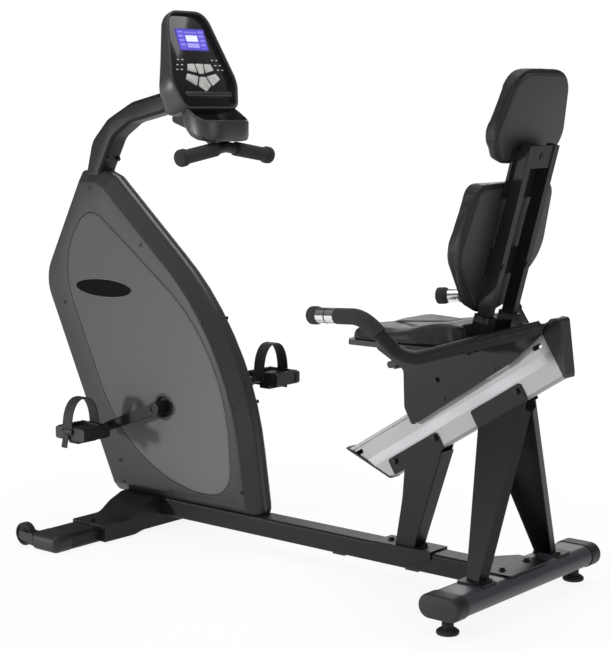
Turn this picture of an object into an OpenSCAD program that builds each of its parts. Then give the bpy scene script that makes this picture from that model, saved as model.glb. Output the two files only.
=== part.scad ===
// Recumbent exercise bike, in millimetres.
// +X points to the rear, +Y to the rider's right, +Z up.
// Lengths along the bike are measured from the axis of the rear stabiliser.

/* [Base frame] */
// Width of the main beam
beam_w = 56; // [44:1:64]
// Height of the main beam
beam_h = 45.5; // [38:0.5:50]
// Wall of the frame tubes
tube_wall = 3; // [2:0.5:4]
// Height of the beam's underside above the floor
beam_z = 36; // [30:1:40]
// Distance between the front and rear stabilisers
wheelbase = 1059; // [1045:1:1070]
// Length of the front stabiliser tube
front_len = 640; // [560:1:680]
// Depth of the front stabiliser tube
front_d = 88; // [80:1:92]
// Height of the front stabiliser tube
front_h = 38; // [34:1:42]
// Length of each front end cap
front_cap_len = 30; // [20:1:36]
// Length of the rear stabiliser tube
rear_len = 506; // [460:1:560]
// Depth of the oval rear stabiliser tube
rear_d = 95; // [86:1:104]
// Height of the oval rear stabiliser tube
rear_h = 46; // [40:1:50]
// Length of each rear end cap
rear_cap_len = 20; // [14:1:30]
// Height of the levelling feet
foot_h = 32; // [28:1:35]
// Diameter of a levelling foot's pad
foot_d = 46; // [36:1:52]
// Distance from each end of the rear tube in to a levelling foot
foot_inset = 14; // [12:1:40]
// Diameter of a transport wheel
wheel_d = 54; // [46:1:58]
// Width of a transport wheel
wheel_w = 20; // [14:1:22]

/* [Legs and rail] */
// Slope of the seat rail
rail_angle = 32; // [31:0.5:33]
// Height of the rail's profile
rail_h = 101; // [95:1:105]
// Width of the rail's wide lower part
rail_w = 34; // [32:1:36]
// Width of the rail's narrow upper web
web_w = 27; // [25:1:28]
// Wall of the rail's profile
rail_wall = 2.5; // [2:0.5:3]
// Length of the rail along its lower edge
rail_len = 478; // [470:1:486]
// Thickness of the legs' steel plate
leg_t = 4; // [3:0.5:5]
// Spread of a rear leg from the vertical
leg_spread = 24; // [22:0.5:25]
// Shank diameter of the frame bolts
bolt_d = 8; // [6:1:9]

/* [Shroud and drive] */
// Half of the shroud's thickness
shroud_half = 46; // [44:1:50]
// Wall of the shroud's shells
shroud_wall = 3; // [2:0.5:3.5]
// Depth of the sloped rim around the shroud
rim_depth = 30; // [20:1:32]
// Inset of the flat side from the outline
rim_inset = 27; // [18:1:30]
// Diameter of the opening around the crank
crank_hole_d = 58; // [52:1:64]
// Length of a crank arm between its axes
crank_len = 175; // [165:1:178]
// Distance between the outer faces of the two crank arms
crank_span = 169; // [160:1:176]
// Thickness of a crank arm
arm_t = 16; // [12:1:18]
// Diameter of the crank axle
axle_d = 20; // [17:1:22]
// Diameter of the drive pulley
pulley_d = 240; // [200:1:250]
// Diameter of the flywheel
flywheel_d = 226; // [200:1:230]
// Thickness of the flywheel
flywheel_t = 22; // [16:1:24]
// Diameter of the flywheel's small pulley
sheave_d = 48; // [40:1:56]
// Length of a pedal's platform along the bike
pedal_len = 100; // [90:1:108]
// Width of a pedal's platform
pedal_w = 84; // [76:1:92]
// Thickness of a pedal's platform
pedal_t = 30; // [24:1:34]

/* [Mast and console] */
// Width of the mast
mast_w = 56; // [48:1:60]
// Backward tilt of the console's face
face_tilt = 20.5; // [16:0.5:24]
// Width of the console at its widest
console_w = 216; // [204:1:224]
// Depth of the console's shell behind its rim
console_d = 25; // [22:1:30]
// Height of the rim above the black face
rim_h = 7; // [5:0.5:8]
// Width of the display window
lcd_w = 98; // [90:1:104]
// Height of the display window
lcd_h = 54; // [48:1:58]
// Travel of a key
key_travel = 1; // [0.6:0.1:1.5]
// Diameter of the front grip bar
grip_bar_d = 25.4; // [22:0.2:28]
// Diameter of a foam grip
foam_d = 33; // [30:0.5:36]

/* [Seat] */
// Width of the seat cushion
seat_w = 290; // [270:1:320]
// Length of the seat cushion
seat_len = 285; // [270:1:296]
// Thickness of the seat cushion at its front
seat_t = 26; // [20:1:30]
// Diameter of the side bars' steel tube
side_bar_d = 28; // [25:0.5:30]
// Wall of the side bars' steel tube
side_bar_wall = 2; // [1.5:0.5:3]
// Lean of the backrest from the vertical
back_lean = 15; // [13:0.5:17]
// Length of the backrest's posts
post_len = 377; // [370:1:386]
// Distance between the centres of the backrest's posts
post_gap = 90; // [84:1:96]
// Width of a backrest post
post_w = 18; // [15:1:20]
// Depth of a backrest post
post_d = 28; // [24:1:30]
// Width of the lower back pad
back_w = 322; // [310:1:340]
// Height of the lower back pad
back_h = 278; // [268:1:284]
// Width of the head pad
head_w = 262; // [250:1:276]
// Height of the head pad
head_h = 194; // [186:1:200]
// Thickness of the back pads
pad_t = 50; // [44:1:56]

/* [Hidden] */
$fn = 48;
step_deg = 9;
slack = 0.3;
run_fit = 0.05;
eps = 0.01;
lap = 1;
swell = 0.2;

// ---- outlines and small helpers ----

function unit(v) = v / norm(v);
function turn_of(a) = ((a + 540) % 360) - 180;

// One corner of an outline as an arc of radius r between its two edges
function corner(before, at, after, r) =
    let (u = unit(before - at), v = unit(after - at), half = acos(u * v) / 2,
        centre = at + unit(u + v) * r / sin(half),
        s = at + u * r / tan(half) - centre,
        e = at + v * r / tan(half) - centre,
        a0 = atan2(s[1], s[0]), swing = turn_of(atan2(e[1], e[0]) - a0),
        n = max(1, ceil(abs(swing) / step_deg)))
    [for (k = [0:n]) centre + r * [cos(a0 + swing * k / n), sin(a0 + swing * k / n)]];

// An outline from corners written as [x, y, radius]
function outline(pts) =
    let (n = len(pts), at = function (i) [pts[i % n][0], pts[i % n][1]])
    [for (i = [0:n - 1]) each (pts[i][2] == 0 ? [at(i)]
        : corner(at(i + n - 1), at(i), at(i + 1), pts[i][2]))];

// A shape drawn in X and Z, with its thickness from y0 to y1
module across(y0, y1) {
    translate([0, y1, 0]) rotate([90, 0, 0]) linear_extrude(y1 - y0) children();
}

// A shape drawn in Y and Z, with its length from x0 to x1
module along(x0, x1) {
    translate([x0, 0, 0]) rotate([90, 0, 90]) linear_extrude(x1 - x0) children();
}

module pin_y(x, z, y0, y1, d) {
    translate([x, y1, z]) rotate([90, 0, 0]) cylinder(h = y1 - y0, d = d);
}

module pin_z(x, y, z0, z1, d) {
    translate([x, y, z0]) cylinder(h = z1 - z0, d = d);
}

module rounded(w, h, r) {
    square([w - 2 * r, h], center = true);
    square([w, h - 2 * r], center = true);
    for (sx = [-1, 1], sy = [-1, 1])
        translate([sx * (w / 2 - r), sy * (h / 2 - r)]) circle(r = r);
}

module both_sides() {
    children();
    mirror([0, 1, 0]) children();
}

// Turns the X axis to the direction v
module aim(v) {
    rotate([0, -asin(v[2] / norm(v)), atan2(v[1], v[0])]) children();
}

// A round bar along a bent path of [point, bend radius] pairs, hollow where bore is above 0
module bent_bar(path, d, bore = 0) {
    n = len(path);
    dirs = [for (i = [0:n - 2]) unit(path[i + 1][0] - path[i][0])];
    cut = [for (i = [0:n - 1]) (i == 0 || i == n - 1) ? 0
        : path[i][1] * tan(acos(dirs[i - 1] * dirs[i]) / 2) - lap];
    for (i = [0:n - 2])
        translate(path[i][0] + dirs[i] * cut[i]) aim(dirs[i]) rotate([0, 90, 0])
            linear_extrude(norm(path[i + 1][0] - path[i][0]) - cut[i] - cut[i + 1]) ring(d, bore);
    // the bends are swollen by a hair where the straight lengths run into them
    for (i = [1:n - 2]) {
        u = dirs[i - 1];
        w = unit(cross(u, dirs[i]));
        v = cross(w, u);
        p = path[i][0] - u * (cut[i] + lap) + v * path[i][1];
        multmatrix([[-v[0], u[0], w[0], p[0]], [-v[1], u[1], w[1], p[1]],
            [-v[2], u[2], w[2], p[2]], [0, 0, 0, 1]])
            rotate_extrude(angle = acos(u * dirs[i])) translate([path[i][1], 0])
                ring(d + swell, bore > 0 ? bore - swell : 0);
    }
}

module ring(d, bore) {
    difference() {
        circle(d = d);
        if (bore > 0) circle(d = bore);
    }
}

// The part of a path between two distances, from its first point and after its first bend
function path_part(path, from, past) =
    let (u0 = unit(path[1][0] - path[0][0]), u1 = unit(path[2][0] - path[1][0]))
    [[path[0][0] + u0 * from, 0], path[1], [path[1][0] + u1 * past, 0]];

// A flat link between two round ends
module link(p, r1, q, r2, sides = 32) {
    hull() {
        translate(p) circle(r = r1, $fn = sides);
        translate(q) circle(r = r2, $fn = sides);
    }
}

// ---- places worked out from the sizes ----

beam_top = beam_z + beam_h;
front_x = -wheelbase;
rear_z = beam_top - rear_h / 2;
front_half = front_len / 2 + front_cap_len;
cap_over = 2;
front_z = cap_over + front_h / 2;
front_reach = front_x - front_d / 2 - cap_over;
wheel_x = front_reach - wheel_d / 2 - 1.5;
wheel_z = wheel_d / 2 + 2;
wheel_y = front_half - wheel_w / 2 - 3;
wheel_pin_d = 10;
fork_t = 5;

rail_x = -287.7;
rail_z = 239.8;
rail_back = rail_len;
rail_lip = 6.5;
rail_lip_w = web_w + 5;
leg_y = rail_w / 2 + leg_t;

crank_x = -960.5;
crank_z = 310.2;
crank_turn = 21.2;
crank_face = crank_span / 2;
pedal_out = 77;
pedal_y = crank_face + pedal_out;
pedal_dx = crank_len * cos(crank_turn);
pedal_dz = crank_len * sin(crank_turn);

fly_x = -1020;
fly_z = 560;
belt_y = 28;
belt_w = 12;
belt_t = 3;

face_x = -904;
face_z = 1176.4;

seat_front = -345;
seat_back = seat_front + seat_len;
seat_z = 544;
shell_t = 11;
grip_tip = [-352, -225, 599];
post_foot = [-56, 0, 586];
carriage_y = 23;
carriage_t = 4;

module place() {
    translate([origin_x, 0, 0]) children();
}

module on_rail() {
    translate([rail_x, 0, rail_z]) rotate([0, -rail_angle, 0]) children();
}

module on_face() {
    translate([face_x, 0, face_z]) rotate([0, -face_tilt, 0]) rotate([90, 0, 90]) children();
}

module on_back() {
    translate(post_foot) rotate([0, back_lean, 0]) children();
}

function rail_point(s, n) = [rail_x + s * cos(rail_angle) - n * sin(rail_angle),
    rail_z + s * sin(rail_angle) + n * cos(rail_angle)];

// ---- base frame ----

joint_plate_x = 74;
joint_plate_y = 148;

module main_beam() {
    color("#2b2a2f") place() {
        difference() {
            union() {
                along(beam_front, -rear_d / 2 + 12)
                    translate([0, beam_z + beam_h / 2]) rounded(beam_w, beam_h, 6);
                // plate that the rear stabiliser is bolted to
                translate([0, 0, rear_top()]) linear_extrude(leg_t)
                    polygon(outline([[-joint_plate_x, -beam_w / 2, 4],
                        [-joint_plate_x / 2, -joint_plate_y / 2, 6],
                        [joint_plate_x / 2, -joint_plate_y / 2, 6],
                        [joint_plate_x / 2, joint_plate_y / 2, 6],
                        [-joint_plate_x / 2, joint_plate_y / 2, 6], [-joint_plate_x, beam_w / 2, 4]]));
                for (x = tab_x) translate([x, 0, beam_z - 4]) linear_extrude(5)
                    square([34, beam_w - 16], center = true);
            }
            along(beam_front - 1, -rear_d / 2 - 8)
                translate([0, beam_z + beam_h / 2])
                    rounded(beam_w - 2 * tube_wall, beam_h - 2 * tube_wall, 4);
            translate([0, 0, rear_z]) rotate([90, 0, 0])
                cylinder(h = 3 * beam_w, d = rear_h, center = true);
            oval_tube(rear_len, 0);
            for (s = [-1, 1]) pin_z(0, s * rear_bolt_y, rear_top() - 1, rear_top() + leg_t + 1, bolt_d + 0.6);
            for (x = base_bolts) pin_z(x, 0, beam_top - 10, beam_top + 1, bolt_d + 0.6);
        }
    }
}

tab_x = [-448, -247];
rear_bolt_y = 46;
shoe_bolt = [25, 130];
function rear_top() = rear_z + rear_h / 2;

module oval(w, h) {
    square([w - h, h], center = true);
    for (s = [-1, 1]) translate([s * (w - h) / 2, 0]) circle(d = h);
}

module oval_tube(length, inset) {
    across(-length / 2, length / 2)
        translate([0, rear_z]) oval(rear_d - 2 * inset, rear_h - 2 * inset);
}

module rear_stabiliser() {
    color("#4a4850") place() difference() {
        oval_tube(rear_len, 0);
        oval_tube(rear_len + 2, tube_wall);
        for (s = [-1, 1]) {
            pin_z(0, s * rear_bolt_y, rear_z, rear_top() + 1, bolt_d);
            pin_z(shoe_bolt[0], s * shoe_bolt[1], rear_z, rear_top() + 1, bolt_d);
            pin_z(0, s * foot_gap / 2, 0, rear_z, foot_stem_d + 1);
        }
    }
}

module rear_end_caps() {
    color("#2c2b30") place() both_sides() difference() {
        union() {
            across(-rear_len / 2 - rear_cap_len, -rear_len / 2)
                translate([0, rear_z]) oval(rear_d + 4, rear_h + 4);
            across(-rear_len / 2 - eps, -rear_len / 2 + 16)
                translate([0, rear_z]) oval(rear_d - 2 * tube_wall, rear_h - 2 * tube_wall);
        }
        pin_z(0, -foot_gap / 2, 0, rear_z, foot_stem_d + 2 * run_fit);
        across(-rear_len / 2 - rear_cap_len + 4, -rear_len / 2 + 17)
            translate([0, rear_z + 8]) oval(rear_d - 24, rear_h - 26);
    }
}

foot_stem_d = 10;
foot_gap = rear_len - 2 * foot_inset;

module levelling_foot(side) {
    color("#19191b") place() translate([0, side * foot_gap / 2, 0]) {
        rotate_extrude() polygon([[0, 0], [foot_d / 2 - 2, 0], [foot_d / 2, 2], [foot_d / 2, 7],
            [foot_d / 2 - 5, 11], [12, 13], [12, foot_h - 9], [0, foot_h - 9]]);
        cylinder(h = rear_z - 8, d = foot_stem_d);
        translate([0, 0, foot_h - 9]) cylinder(h = 6, d = 19, $fn = 6);
    }
}

module front_section(over) {
    rounded(front_d + 2 * over, front_h + 2 * over, 9 + over);
}

module front_stabiliser() {
    color("#2b2a2f") place() difference() {
        across(-front_len / 2, front_len / 2) translate([front_x, front_z]) front_section(0);
        across(-front_len / 2 - 1, front_len / 2 + 1) translate([front_x, front_z]) front_section(-tube_wall);
        for (s = [-1, 1]) pin_z(front_x, s * saddle_bolt_y, front_z, front_z + front_h, bolt_d);
    }
}

module front_end_caps() {
    color("#232326") place() both_sides() difference() {
        union() {
            difference() {
                across(-front_half, -front_len / 2 + 18)
                    translate([front_x, front_z]) front_section(cap_over);
                across(-front_len / 2, -front_len / 2 + 19) translate([front_x, front_z]) front_section(0);
            }
            // fork that carries the transport wheel
            for (y = fork_faces) across(y, y + fork_t)
                polygon(outline([[wheel_x - 9, wheel_z - 9, 6], [front_reach + 6, 6, 0],
                    [front_reach + 6, wheel_z + 11, 0], [wheel_x - 9, wheel_z + 9, 6]]));
        }
        pin_y(wheel_x, wheel_z, -front_half - 30, -front_len / 2 + 30, wheel_pin_d);
    }
}

fork_faces = [-wheel_y - wheel_w / 2 - 1 - fork_t, -wheel_y + wheel_w / 2 + 1];

module transport_wheel(side) {
    color("#1c1c1e") place() translate([wheel_x, side * wheel_y, wheel_z]) rotate([90, 0, 0])
        rotate_extrude($fn = 64) polygon(outline([[wheel_pin_d / 2 + run_fit, -wheel_w / 2, 0],
            [13, -wheel_w / 2, 0], [15, -wheel_w / 2 + 4, 0], [wheel_d / 2 - 7, -wheel_w / 2 + 4, 0],
            [wheel_d / 2 - 6, -wheel_w / 2, 0], [wheel_d / 2, -wheel_w / 2, 4], [wheel_d / 2, wheel_w / 2, 4],
            [wheel_d / 2 - 6, wheel_w / 2, 0], [wheel_d / 2 - 7, wheel_w / 2 - 4, 0],
            [15, wheel_w / 2 - 4, 0],
            [13, wheel_w / 2, 0], [wheel_pin_d / 2 + run_fit, wheel_w / 2, 0]]));
}

saddle_bolt_y = 196;
saddle_half = 213;
saddle_wall = 4;
saddle_flat = front_z + front_h / 2 + saddle_wall + slack;
saddle_peak = beam_top + 2;
saddle_x = [front_x - front_d / 2 - saddle_wall - 1, front_x + front_d / 2 + 18];
saddle_shape = [[-saddle_half, 5, 0], [-116, 4, 60], [-88, 10, 60], [88, 10, 60], [116, 4, 60],
    [saddle_half, 5, 0], [saddle_half, saddle_flat, 3], [126, saddle_flat, 36], [92, 67, 40],
    [50, saddle_peak, 40], [-50, saddle_peak, 40], [-92, 67, 40], [-126, saddle_flat, 36],
    [-saddle_half, saddle_flat, 3]];

module front_saddle() {
    color("#2b2a2f") place() difference() {
        along(saddle_x[0], saddle_x[1]) polygon(outline(saddle_shape));
        // pressed from plate, open underneath
        along(saddle_x[0] + saddle_wall, saddle_x[1] - saddle_wall) {
            polygon(outline(inward(saddle_shape, saddle_wall)));
            translate([0, -10]) square([2 * (saddle_half - saddle_wall), 40], center = true);
        }
        along(beam_front, saddle_x[1] + 1)
            translate([0, beam_z + beam_h / 2]) rounded(beam_w, beam_h, 6);
        across(-front_half, front_half) translate([front_x, front_z]) front_section(slack);
        for (s = [-1, 1]) pin_z(front_x, s * saddle_bolt_y, front_z, front_z + 60, bolt_d + 0.6);
    }
}

beam_front = front_x + front_d / 2 + 2;

// ---- legs ----

front_tab = [-6, 140];
rear_tab = [242, 380];

module front_leg() {
    base_x = [-340, -190];
    color("#2e2d33") place() difference() {
        union() {
            for (y = [-leg_y, leg_y - leg_t]) across(y, y + leg_t)
                polygon(outline([[-290, beam_top + 2, 0], [-272, 190, 200], concat(rail_point(24, 0), 0),
                    concat(rail_point(front_tab[0], 0), 6), concat(rail_point(front_tab[0], 36), 6),
                    concat(rail_point(front_tab[1], 36), 6), concat(rail_point(front_tab[1], 0), 0),
                    [-241, beam_top + 2, 0]]));
            // rear web of the channel
            across(-leg_y + 1, leg_y - 1)
                polygon([[-241, beam_top + 2], concat(rail_point(front_tab[1] - 4, -9)),
                    concat(rail_point(front_tab[1] - 9, -9)), [-247, beam_top + 2]]);
            // saddle over the beam
            across(-beam_w / 2 - leg_t, beam_w / 2 + leg_t) polygon([[base_x[0], beam_top],
                [base_x[1], beam_top], [base_x[1], beam_top + leg_t], [base_x[0], beam_top + leg_t]]);
            for (y = [-beam_w / 2 - leg_t, beam_w / 2]) across(y, y + leg_t)
                polygon(outline([[base_x[0], beam_top + leg_t, 0], [base_x[0], 62, 4], [-296, 45, 20],
                    [-262, 45, 20], [base_x[1], 68, 4], [base_x[1], beam_top + leg_t, 0]]));
        }
        for (s = [10, 131]) translate([rail_point(s, 26)[0], -50, rail_point(s, 26)[1]])
            rotate([-90, 0, 0]) cylinder(h = 100, d = bolt_d + 0.6);
        for (x = base_bolts) pin_z(x, 0, beam_z, beam_top + 20, bolt_d + 0.6);
        along(base_x[0] - 1, base_x[1] + 1) translate([0, beam_z + beam_h / 2]) rounded(beam_w, beam_h, 6);
    }
}

base_bolts = [-316, -226];
leg_flange = 22;
// Corners of a rear leg, along the rail and down from its bend
leg_shape = [[rear_tab[0], 0], [rear_tab[1] - 6, 0], [167, -318], [139, -299]];

module rear_leg() {
    on_rail() {
        across(-leg_y, -rail_w / 2) polygon(outline([[rear_tab[0], -5, 0], [rear_tab[0], 36, 6],
            [rear_tab[1], 36, 6], [rear_tab[1], -5, 0]]));
        translate([0, -rail_w / 2, -4]) rotate([-leg_spread, 0, 0]) difference() {
            across(-leg_t, leg_flange) polygon(leg_shape);
            across(0, leg_flange + 1) polygon([leg_shape[0] + [leg_t, 1], leg_shape[1] + [-leg_t, 1],
                leg_shape[2] + [-leg_t * 0.9, -1], leg_shape[3] + [leg_t * 0.9, -1]]);
            across(2, leg_flange + 20) polygon([[rear_tab[0] - 9, 1], [rear_tab[0] - 9, -14],
                [rear_tab[1] + 9, -14], [rear_tab[1] + 9, 1]]);
        }
    }
}

module rear_legs() {
    color("#2e2d33") place() both_sides() difference() {
        rear_leg();
        translate([-100, -200, -20]) cube([200, 200, 20 + rear_top()]);
        translate([rail_point(366, 24)[0], -50, rail_point(366, 24)[1]])
            rotate([-90, 0, 0]) cylinder(h = 100, d = bolt_d + 0.6);
    }
    color("#2e2d33") place() both_sides() leg_shoe();
}

// Foot plate that joins a rear leg to the stabiliser
module leg_shoe() {
    difference() {
        translate([0, -146, rear_top()]) linear_extrude(leg_t)
            polygon(outline([[-30, -22, 5], [34, -22, 5], [34, 30, 5], [-30, 30, 5]]));
        pin_z(shoe_bolt[0], -shoe_bolt[1], 0, 2 * rear_z, bolt_d);
    }
}

// ---- rail ----

module rail_profile(inset) {
    polygon(outline([[rail_w / 2 - inset, inset, 5], [rail_w / 2 - inset, 40 - inset / 2, 0],
        [web_w / 2 - inset, 60 - inset / 2, 0], [web_w / 2 - inset, rail_h - rail_lip - inset, 0],
        [-web_w / 2 + inset, rail_h - rail_lip - inset, 0], [-web_w / 2 + inset, 60 - inset / 2, 0],
        [-rail_w / 2 + inset, 40 - inset / 2, 0], [-rail_w / 2 + inset, inset, 5]]));
}

module rail_slots() {
    for (s = [[-82, 83], [444, 80]]) {
        for (dx = [0, 14]) translate([s[0] + dx, 30, s[1]]) rotate([90, 0, 0]) cylinder(h = 60, d = 10);
        translate([s[0], -30, s[1] - 5]) cube([14, 60, 10]);
    }
}

rail_front_cut = 36;

module rail_front_wedge(over) {
    translate([-20 - over, -50, 0]) rotate([0, -rail_front_cut, 0])
        translate([-200, 0, -100]) cube([200, 100, 300]);
}

module rail() {
    color("#d9d9dd") place() on_rail() difference() {
        union() {
            along(-110, rail_back) rail_profile(0);
            along(-110, rail_back)
                translate([-rail_lip_w / 2, rail_h - rail_lip]) square([rail_lip_w, rail_lip]);
        }
        along(-111, rail_back + 1) rail_profile(rail_wall);
        rail_slots();
        rail_front_wedge(0);
        for (s = rail_bolts) translate([s[0], 0, s[1]]) rotate([90, 0, 0])
            cylinder(h = 60, d = bolt_d + 0.6, center = true);
    }
}

rail_bolts = [[10, 26], [131, 26], [366, 24]];

module rail_front_cap() {
    color("#1d1d20") place() on_rail() intersection() {
        difference() {
            rail_front_wedge(0);
            rail_front_wedge(5);
        }
        along(-130, 20) polygon(outline([[-rail_w / 2 - 1, -1, 5], [rail_w / 2 + 1, -1, 5],
            [rail_w / 2 + 1, rail_h + 7, 8], [-rail_w / 2 - 1, rail_h + 7, 8]]));
    }
}

cover_shape = [concat(rail_point(rail_back, 2), 0), [121, 491, 0], [122, 499, 4], [107, 611, 8], [84, 607, 8],
    concat(rail_point(rail_back, 103), 4)];

module rail_rear_cover() {
    color("#1d1d20") place() across(-rail_w / 2 - 1, rail_w / 2 + 1) polygon(outline(cover_shape));
}

// ---- fasteners of the frame ----

module hex_bolt(length, d = bolt_d) {
    translate([0, 0, -length]) cylinder(h = length, d = d);
    cylinder(h = 1.5, d = 2.2 * d);
    translate([0, 0, 1.5]) cylinder(h = 5, d = 1.6 * d, $fn = 6);
}

// A bolt across the frame, with a nut on its far end
module cross_bolt(x, z, half, d = bolt_d) {
    translate([x, -half, z]) rotate([90, 0, 0]) hex_bolt(2 * half, d);
    translate([x, half, z]) rotate([-90, 0, 0]) {
        cylinder(h = 1.5, d = 2.2 * d);
        translate([0, 0, 1.5]) cylinder(h = 6, d = 1.6 * d, $fn = 6);
    }
}

module screw(d = 5) {
    translate([0, 0, -10]) cylinder(h = 10, d = d);
    difference() {
        cylinder(h = 1.6, d = 1.8 * d);
        translate([0, 0, 0.8]) cylinder(h = 2, d = 0.8 * d, $fn = 6);
    }
}

shroud_screws = [[-1212, 826], [-1036, 694], [-842, 525], [-1307, 536], [-746, 335],
    [-1115, 158], [-1104, 106], [-944, 106], [-714, 137]];

module frame_fasteners() {
    color("#101012") place() {
        for (s = [-1, 1]) {
            translate([0, s * rear_bolt_y, rear_top() + leg_t]) hex_bolt(20);
            translate([front_x, s * saddle_bolt_y, saddle_flat]) hex_bolt(20);
            translate([shoe_bolt[0], s * shoe_bolt[1], rear_top() + leg_t]) hex_bolt(16);
            // pins of the transport wheels
            pin_y(wheel_x, wheel_z, s < 0 ? -front_half - 2 : front_half - wheel_w - 2 * fork_t - 2,
                s < 0 ? -front_half + wheel_w + 2 * fork_t + 2 : front_half + 2, wheel_pin_d);
        }
        for (x = base_bolts) translate([x, 0, beam_top + leg_t]) hex_bolt(24);
        for (s = rail_bolts) cross_bolt(rail_point(s[0], s[1])[0], rail_point(s[0], s[1])[1], leg_y);
        on_mast_bolts() hex_bolt(16, 6);
        for (p = shroud_screws, s = [-1, 1])
            translate([p[0], s * shroud_half, p[1]]) rotate([-s * 90, 0, 0]) screw();
    }
}

// ---- mast and inner frame ----

mast_shape = [[-1200, 820, 0], [-1190, 868, 40], [-1146, 948, 50], [-1088, 984, 60], [-985, 1006, 60],
    [-873.3, 1040, 0], [-889, 1082, 0], [-985, 1055, 60], [-1082, 1034, 90], [-1166, 993, 60],
    [-1222, 938, 60], [-1254, 820, 0]];

// Places its children on the mast's rear face, where it is bolted
module on_mast_bolts() {
    for (s = [-1, 1]) translate([-1174.5, 17 * s, 896]) rotate([0, 90 + 28.8, 0]) children();
}

module mast() {
    color("#2e2d33") place() difference() {
        across(-mast_w / 2, mast_w / 2) polygon(outline(mast_shape));
        across(-mast_w / 2 + tube_wall, mast_w / 2 - tube_wall) {
            polygon(outline(inward(mast_shape, tube_wall)));
            polygon([[-1250, 812], [-1245, 840], [-1198, 840], [-1205, 812]]);
        }
        on_mast_bolts() cylinder(h = 40, d = 6.6, center = true);
    }
}

post_half = 20;
upright = [[-1102, saddle_peak, 0], [-1052, saddle_peak, 0], [-1214, 858, 0], [-1240, 858, 0]];
crank_post = [[crank_x - 26, beam_top, 0], [crank_x + 26, beam_top, 0],
    [crank_x + 18, crank_z, 0], [crank_x - 18, crank_z, 0]];

module inner_frame() {
    color("#3a3a3e") place() difference() {
        union() {
            // upright from the beam to the mast
            difference() {
                across(-post_half, post_half) polygon(outline(upright));
                across(-post_half + tube_wall, post_half - tube_wall) {
                    polygon(outline(inward(upright, tube_wall)));
                }
            }
            // crank post and its shell
            difference() {
                across(-16, 16) polygon(outline(crank_post));
                across(-16 + tube_wall, 16 - tube_wall) polygon(outline(inward(crank_post, 5)));
            }
            pin_y(crank_x, crank_z, -shell_half, belt_y - 10, 46);
            // arms that hold the flywheel's axle
            for (y = [[-26, -post_half + 1], [36, 40]]) across(y[0], y[1])
                polygon(outline([[-1190, fly_z - 40, 0], [-1120, fly_z - 26, 10], [fly_x, fly_z - 16, 10],
                    [fly_x + 20, fly_z, 10], [fly_x, fly_z + 16, 10], [-1120, fly_z + 26, 10],
                    [-1200, fly_z + 40, 0]]));
            across(post_half - 1, 37) polygon([[-1196, fly_z - 36], [-1160, fly_z - 36],
                [-1160, fly_z + 36], [-1196, fly_z + 36]]);
            // ear for the magnet arm's pivot
            across(-8, 8) polygon([[-1200, 646], [-1192, 600], arm_pivot - [0, 12], arm_pivot + [10, 0],
                arm_pivot + [0, 12]]);
            pin_y(arm_pivot[0], arm_pivot[1], -22, 22, 8);
            pin_y(fly_x, fly_z, -26, 40, fly_pin_d);
            // shelf for the tension motor
            across(-post_half, post_half) polygon([[-1222, 712], [-1216, 706], [-1112, 706], [-1112, 712]]);
            // spigot that the mast is pushed over
            across(-mast_w / 2 + tube_wall + slack, mast_w / 2 - tube_wall - slack)
                polygon([[-1240, 846], [-1201, 846], [-1193, 872], [-1173, 908], [-1173, 918], [-1223, 918]]);
        }
        pin_y(crank_x, crank_z, -60, 60, bearing_d);
        on_mast_bolts() cylinder(h = 40, d = 6, center = true);
        // the spigot is hollow
        across(-mast_w / 2 + 2 * tube_wall, mast_w / 2 - 2 * tube_wall)
            polygon([[-1236, 850], [-1205, 850], [-1198, 872], [-1180, 906], [-1180, 930], [-1216, 930]]);
    }
}

shell_half = 38;
bearing_d = 36;
bearing_t = 12;
fly_pin_d = 12;
// The brake arm's pivot stands this far outside the flywheel's rim
pivot_out = 10.8;
arm_pivot = [fly_x, fly_z] + (flywheel_d / 2 + pivot_out) * [cos(149), sin(149)];

// ---- shroud ----

shroud_shape = [[-1265, 866, 14], [-1409, 595, 120], [-1157, 74, 16], [-672, 74, 22],
    [-734, 494, 720], [-1150, 853, 22], [-1190, 868, 8]];

// The shroud's outline, moved inwards on every edge
function inward(pts, d) =
    let (n = len(pts), at = function (i) [pts[(i + n) % n][0], pts[(i + n) % n][1]],
        side = function (i) let (e = unit(at(i + 1) - at(i))) [[-e[1], e[0]], at(i) + d * [-e[1], e[0]], e])
    [for (i = [0:n - 1])
        let (a = side(i - 1), b = side(i),
            t = cross(b[1] - a[1], b[2]) / cross(a[2], b[2]), p = a[1] + a[2] * t)
        [p[0], p[1], max(2, pts[i][2] - d)]];

// The library's origin: the middle of the footprint, on the floor
shroud_front = min([for (p = outline(shroud_shape)) p[0]]);
cover_back = max([for (p = outline(cover_shape)) p[0]]);
origin_x = -(shroud_front + cover_back) / 2;

module half_shell(inset, depth) {
    hull() {
        across(-(depth - rim_depth), 0) polygon(outline(inward(shroud_shape, inset)));
        across(-depth, -(depth - 1)) polygon(outline(inward(shroud_shape, rim_inset + inset)));
    }
}

panel_shape = [[-1217, 787, 57], [-1280, 698, 134], [-1305, 602, 191], [-1172, 328, 539],
    [-1067, 161, 393], [-855, 114, 249], [-745, 123, 62], [-761, 368, 466], [-878, 544, 464],
    [-1081, 692, 1780]];
panel_t = 2.5;

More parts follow.
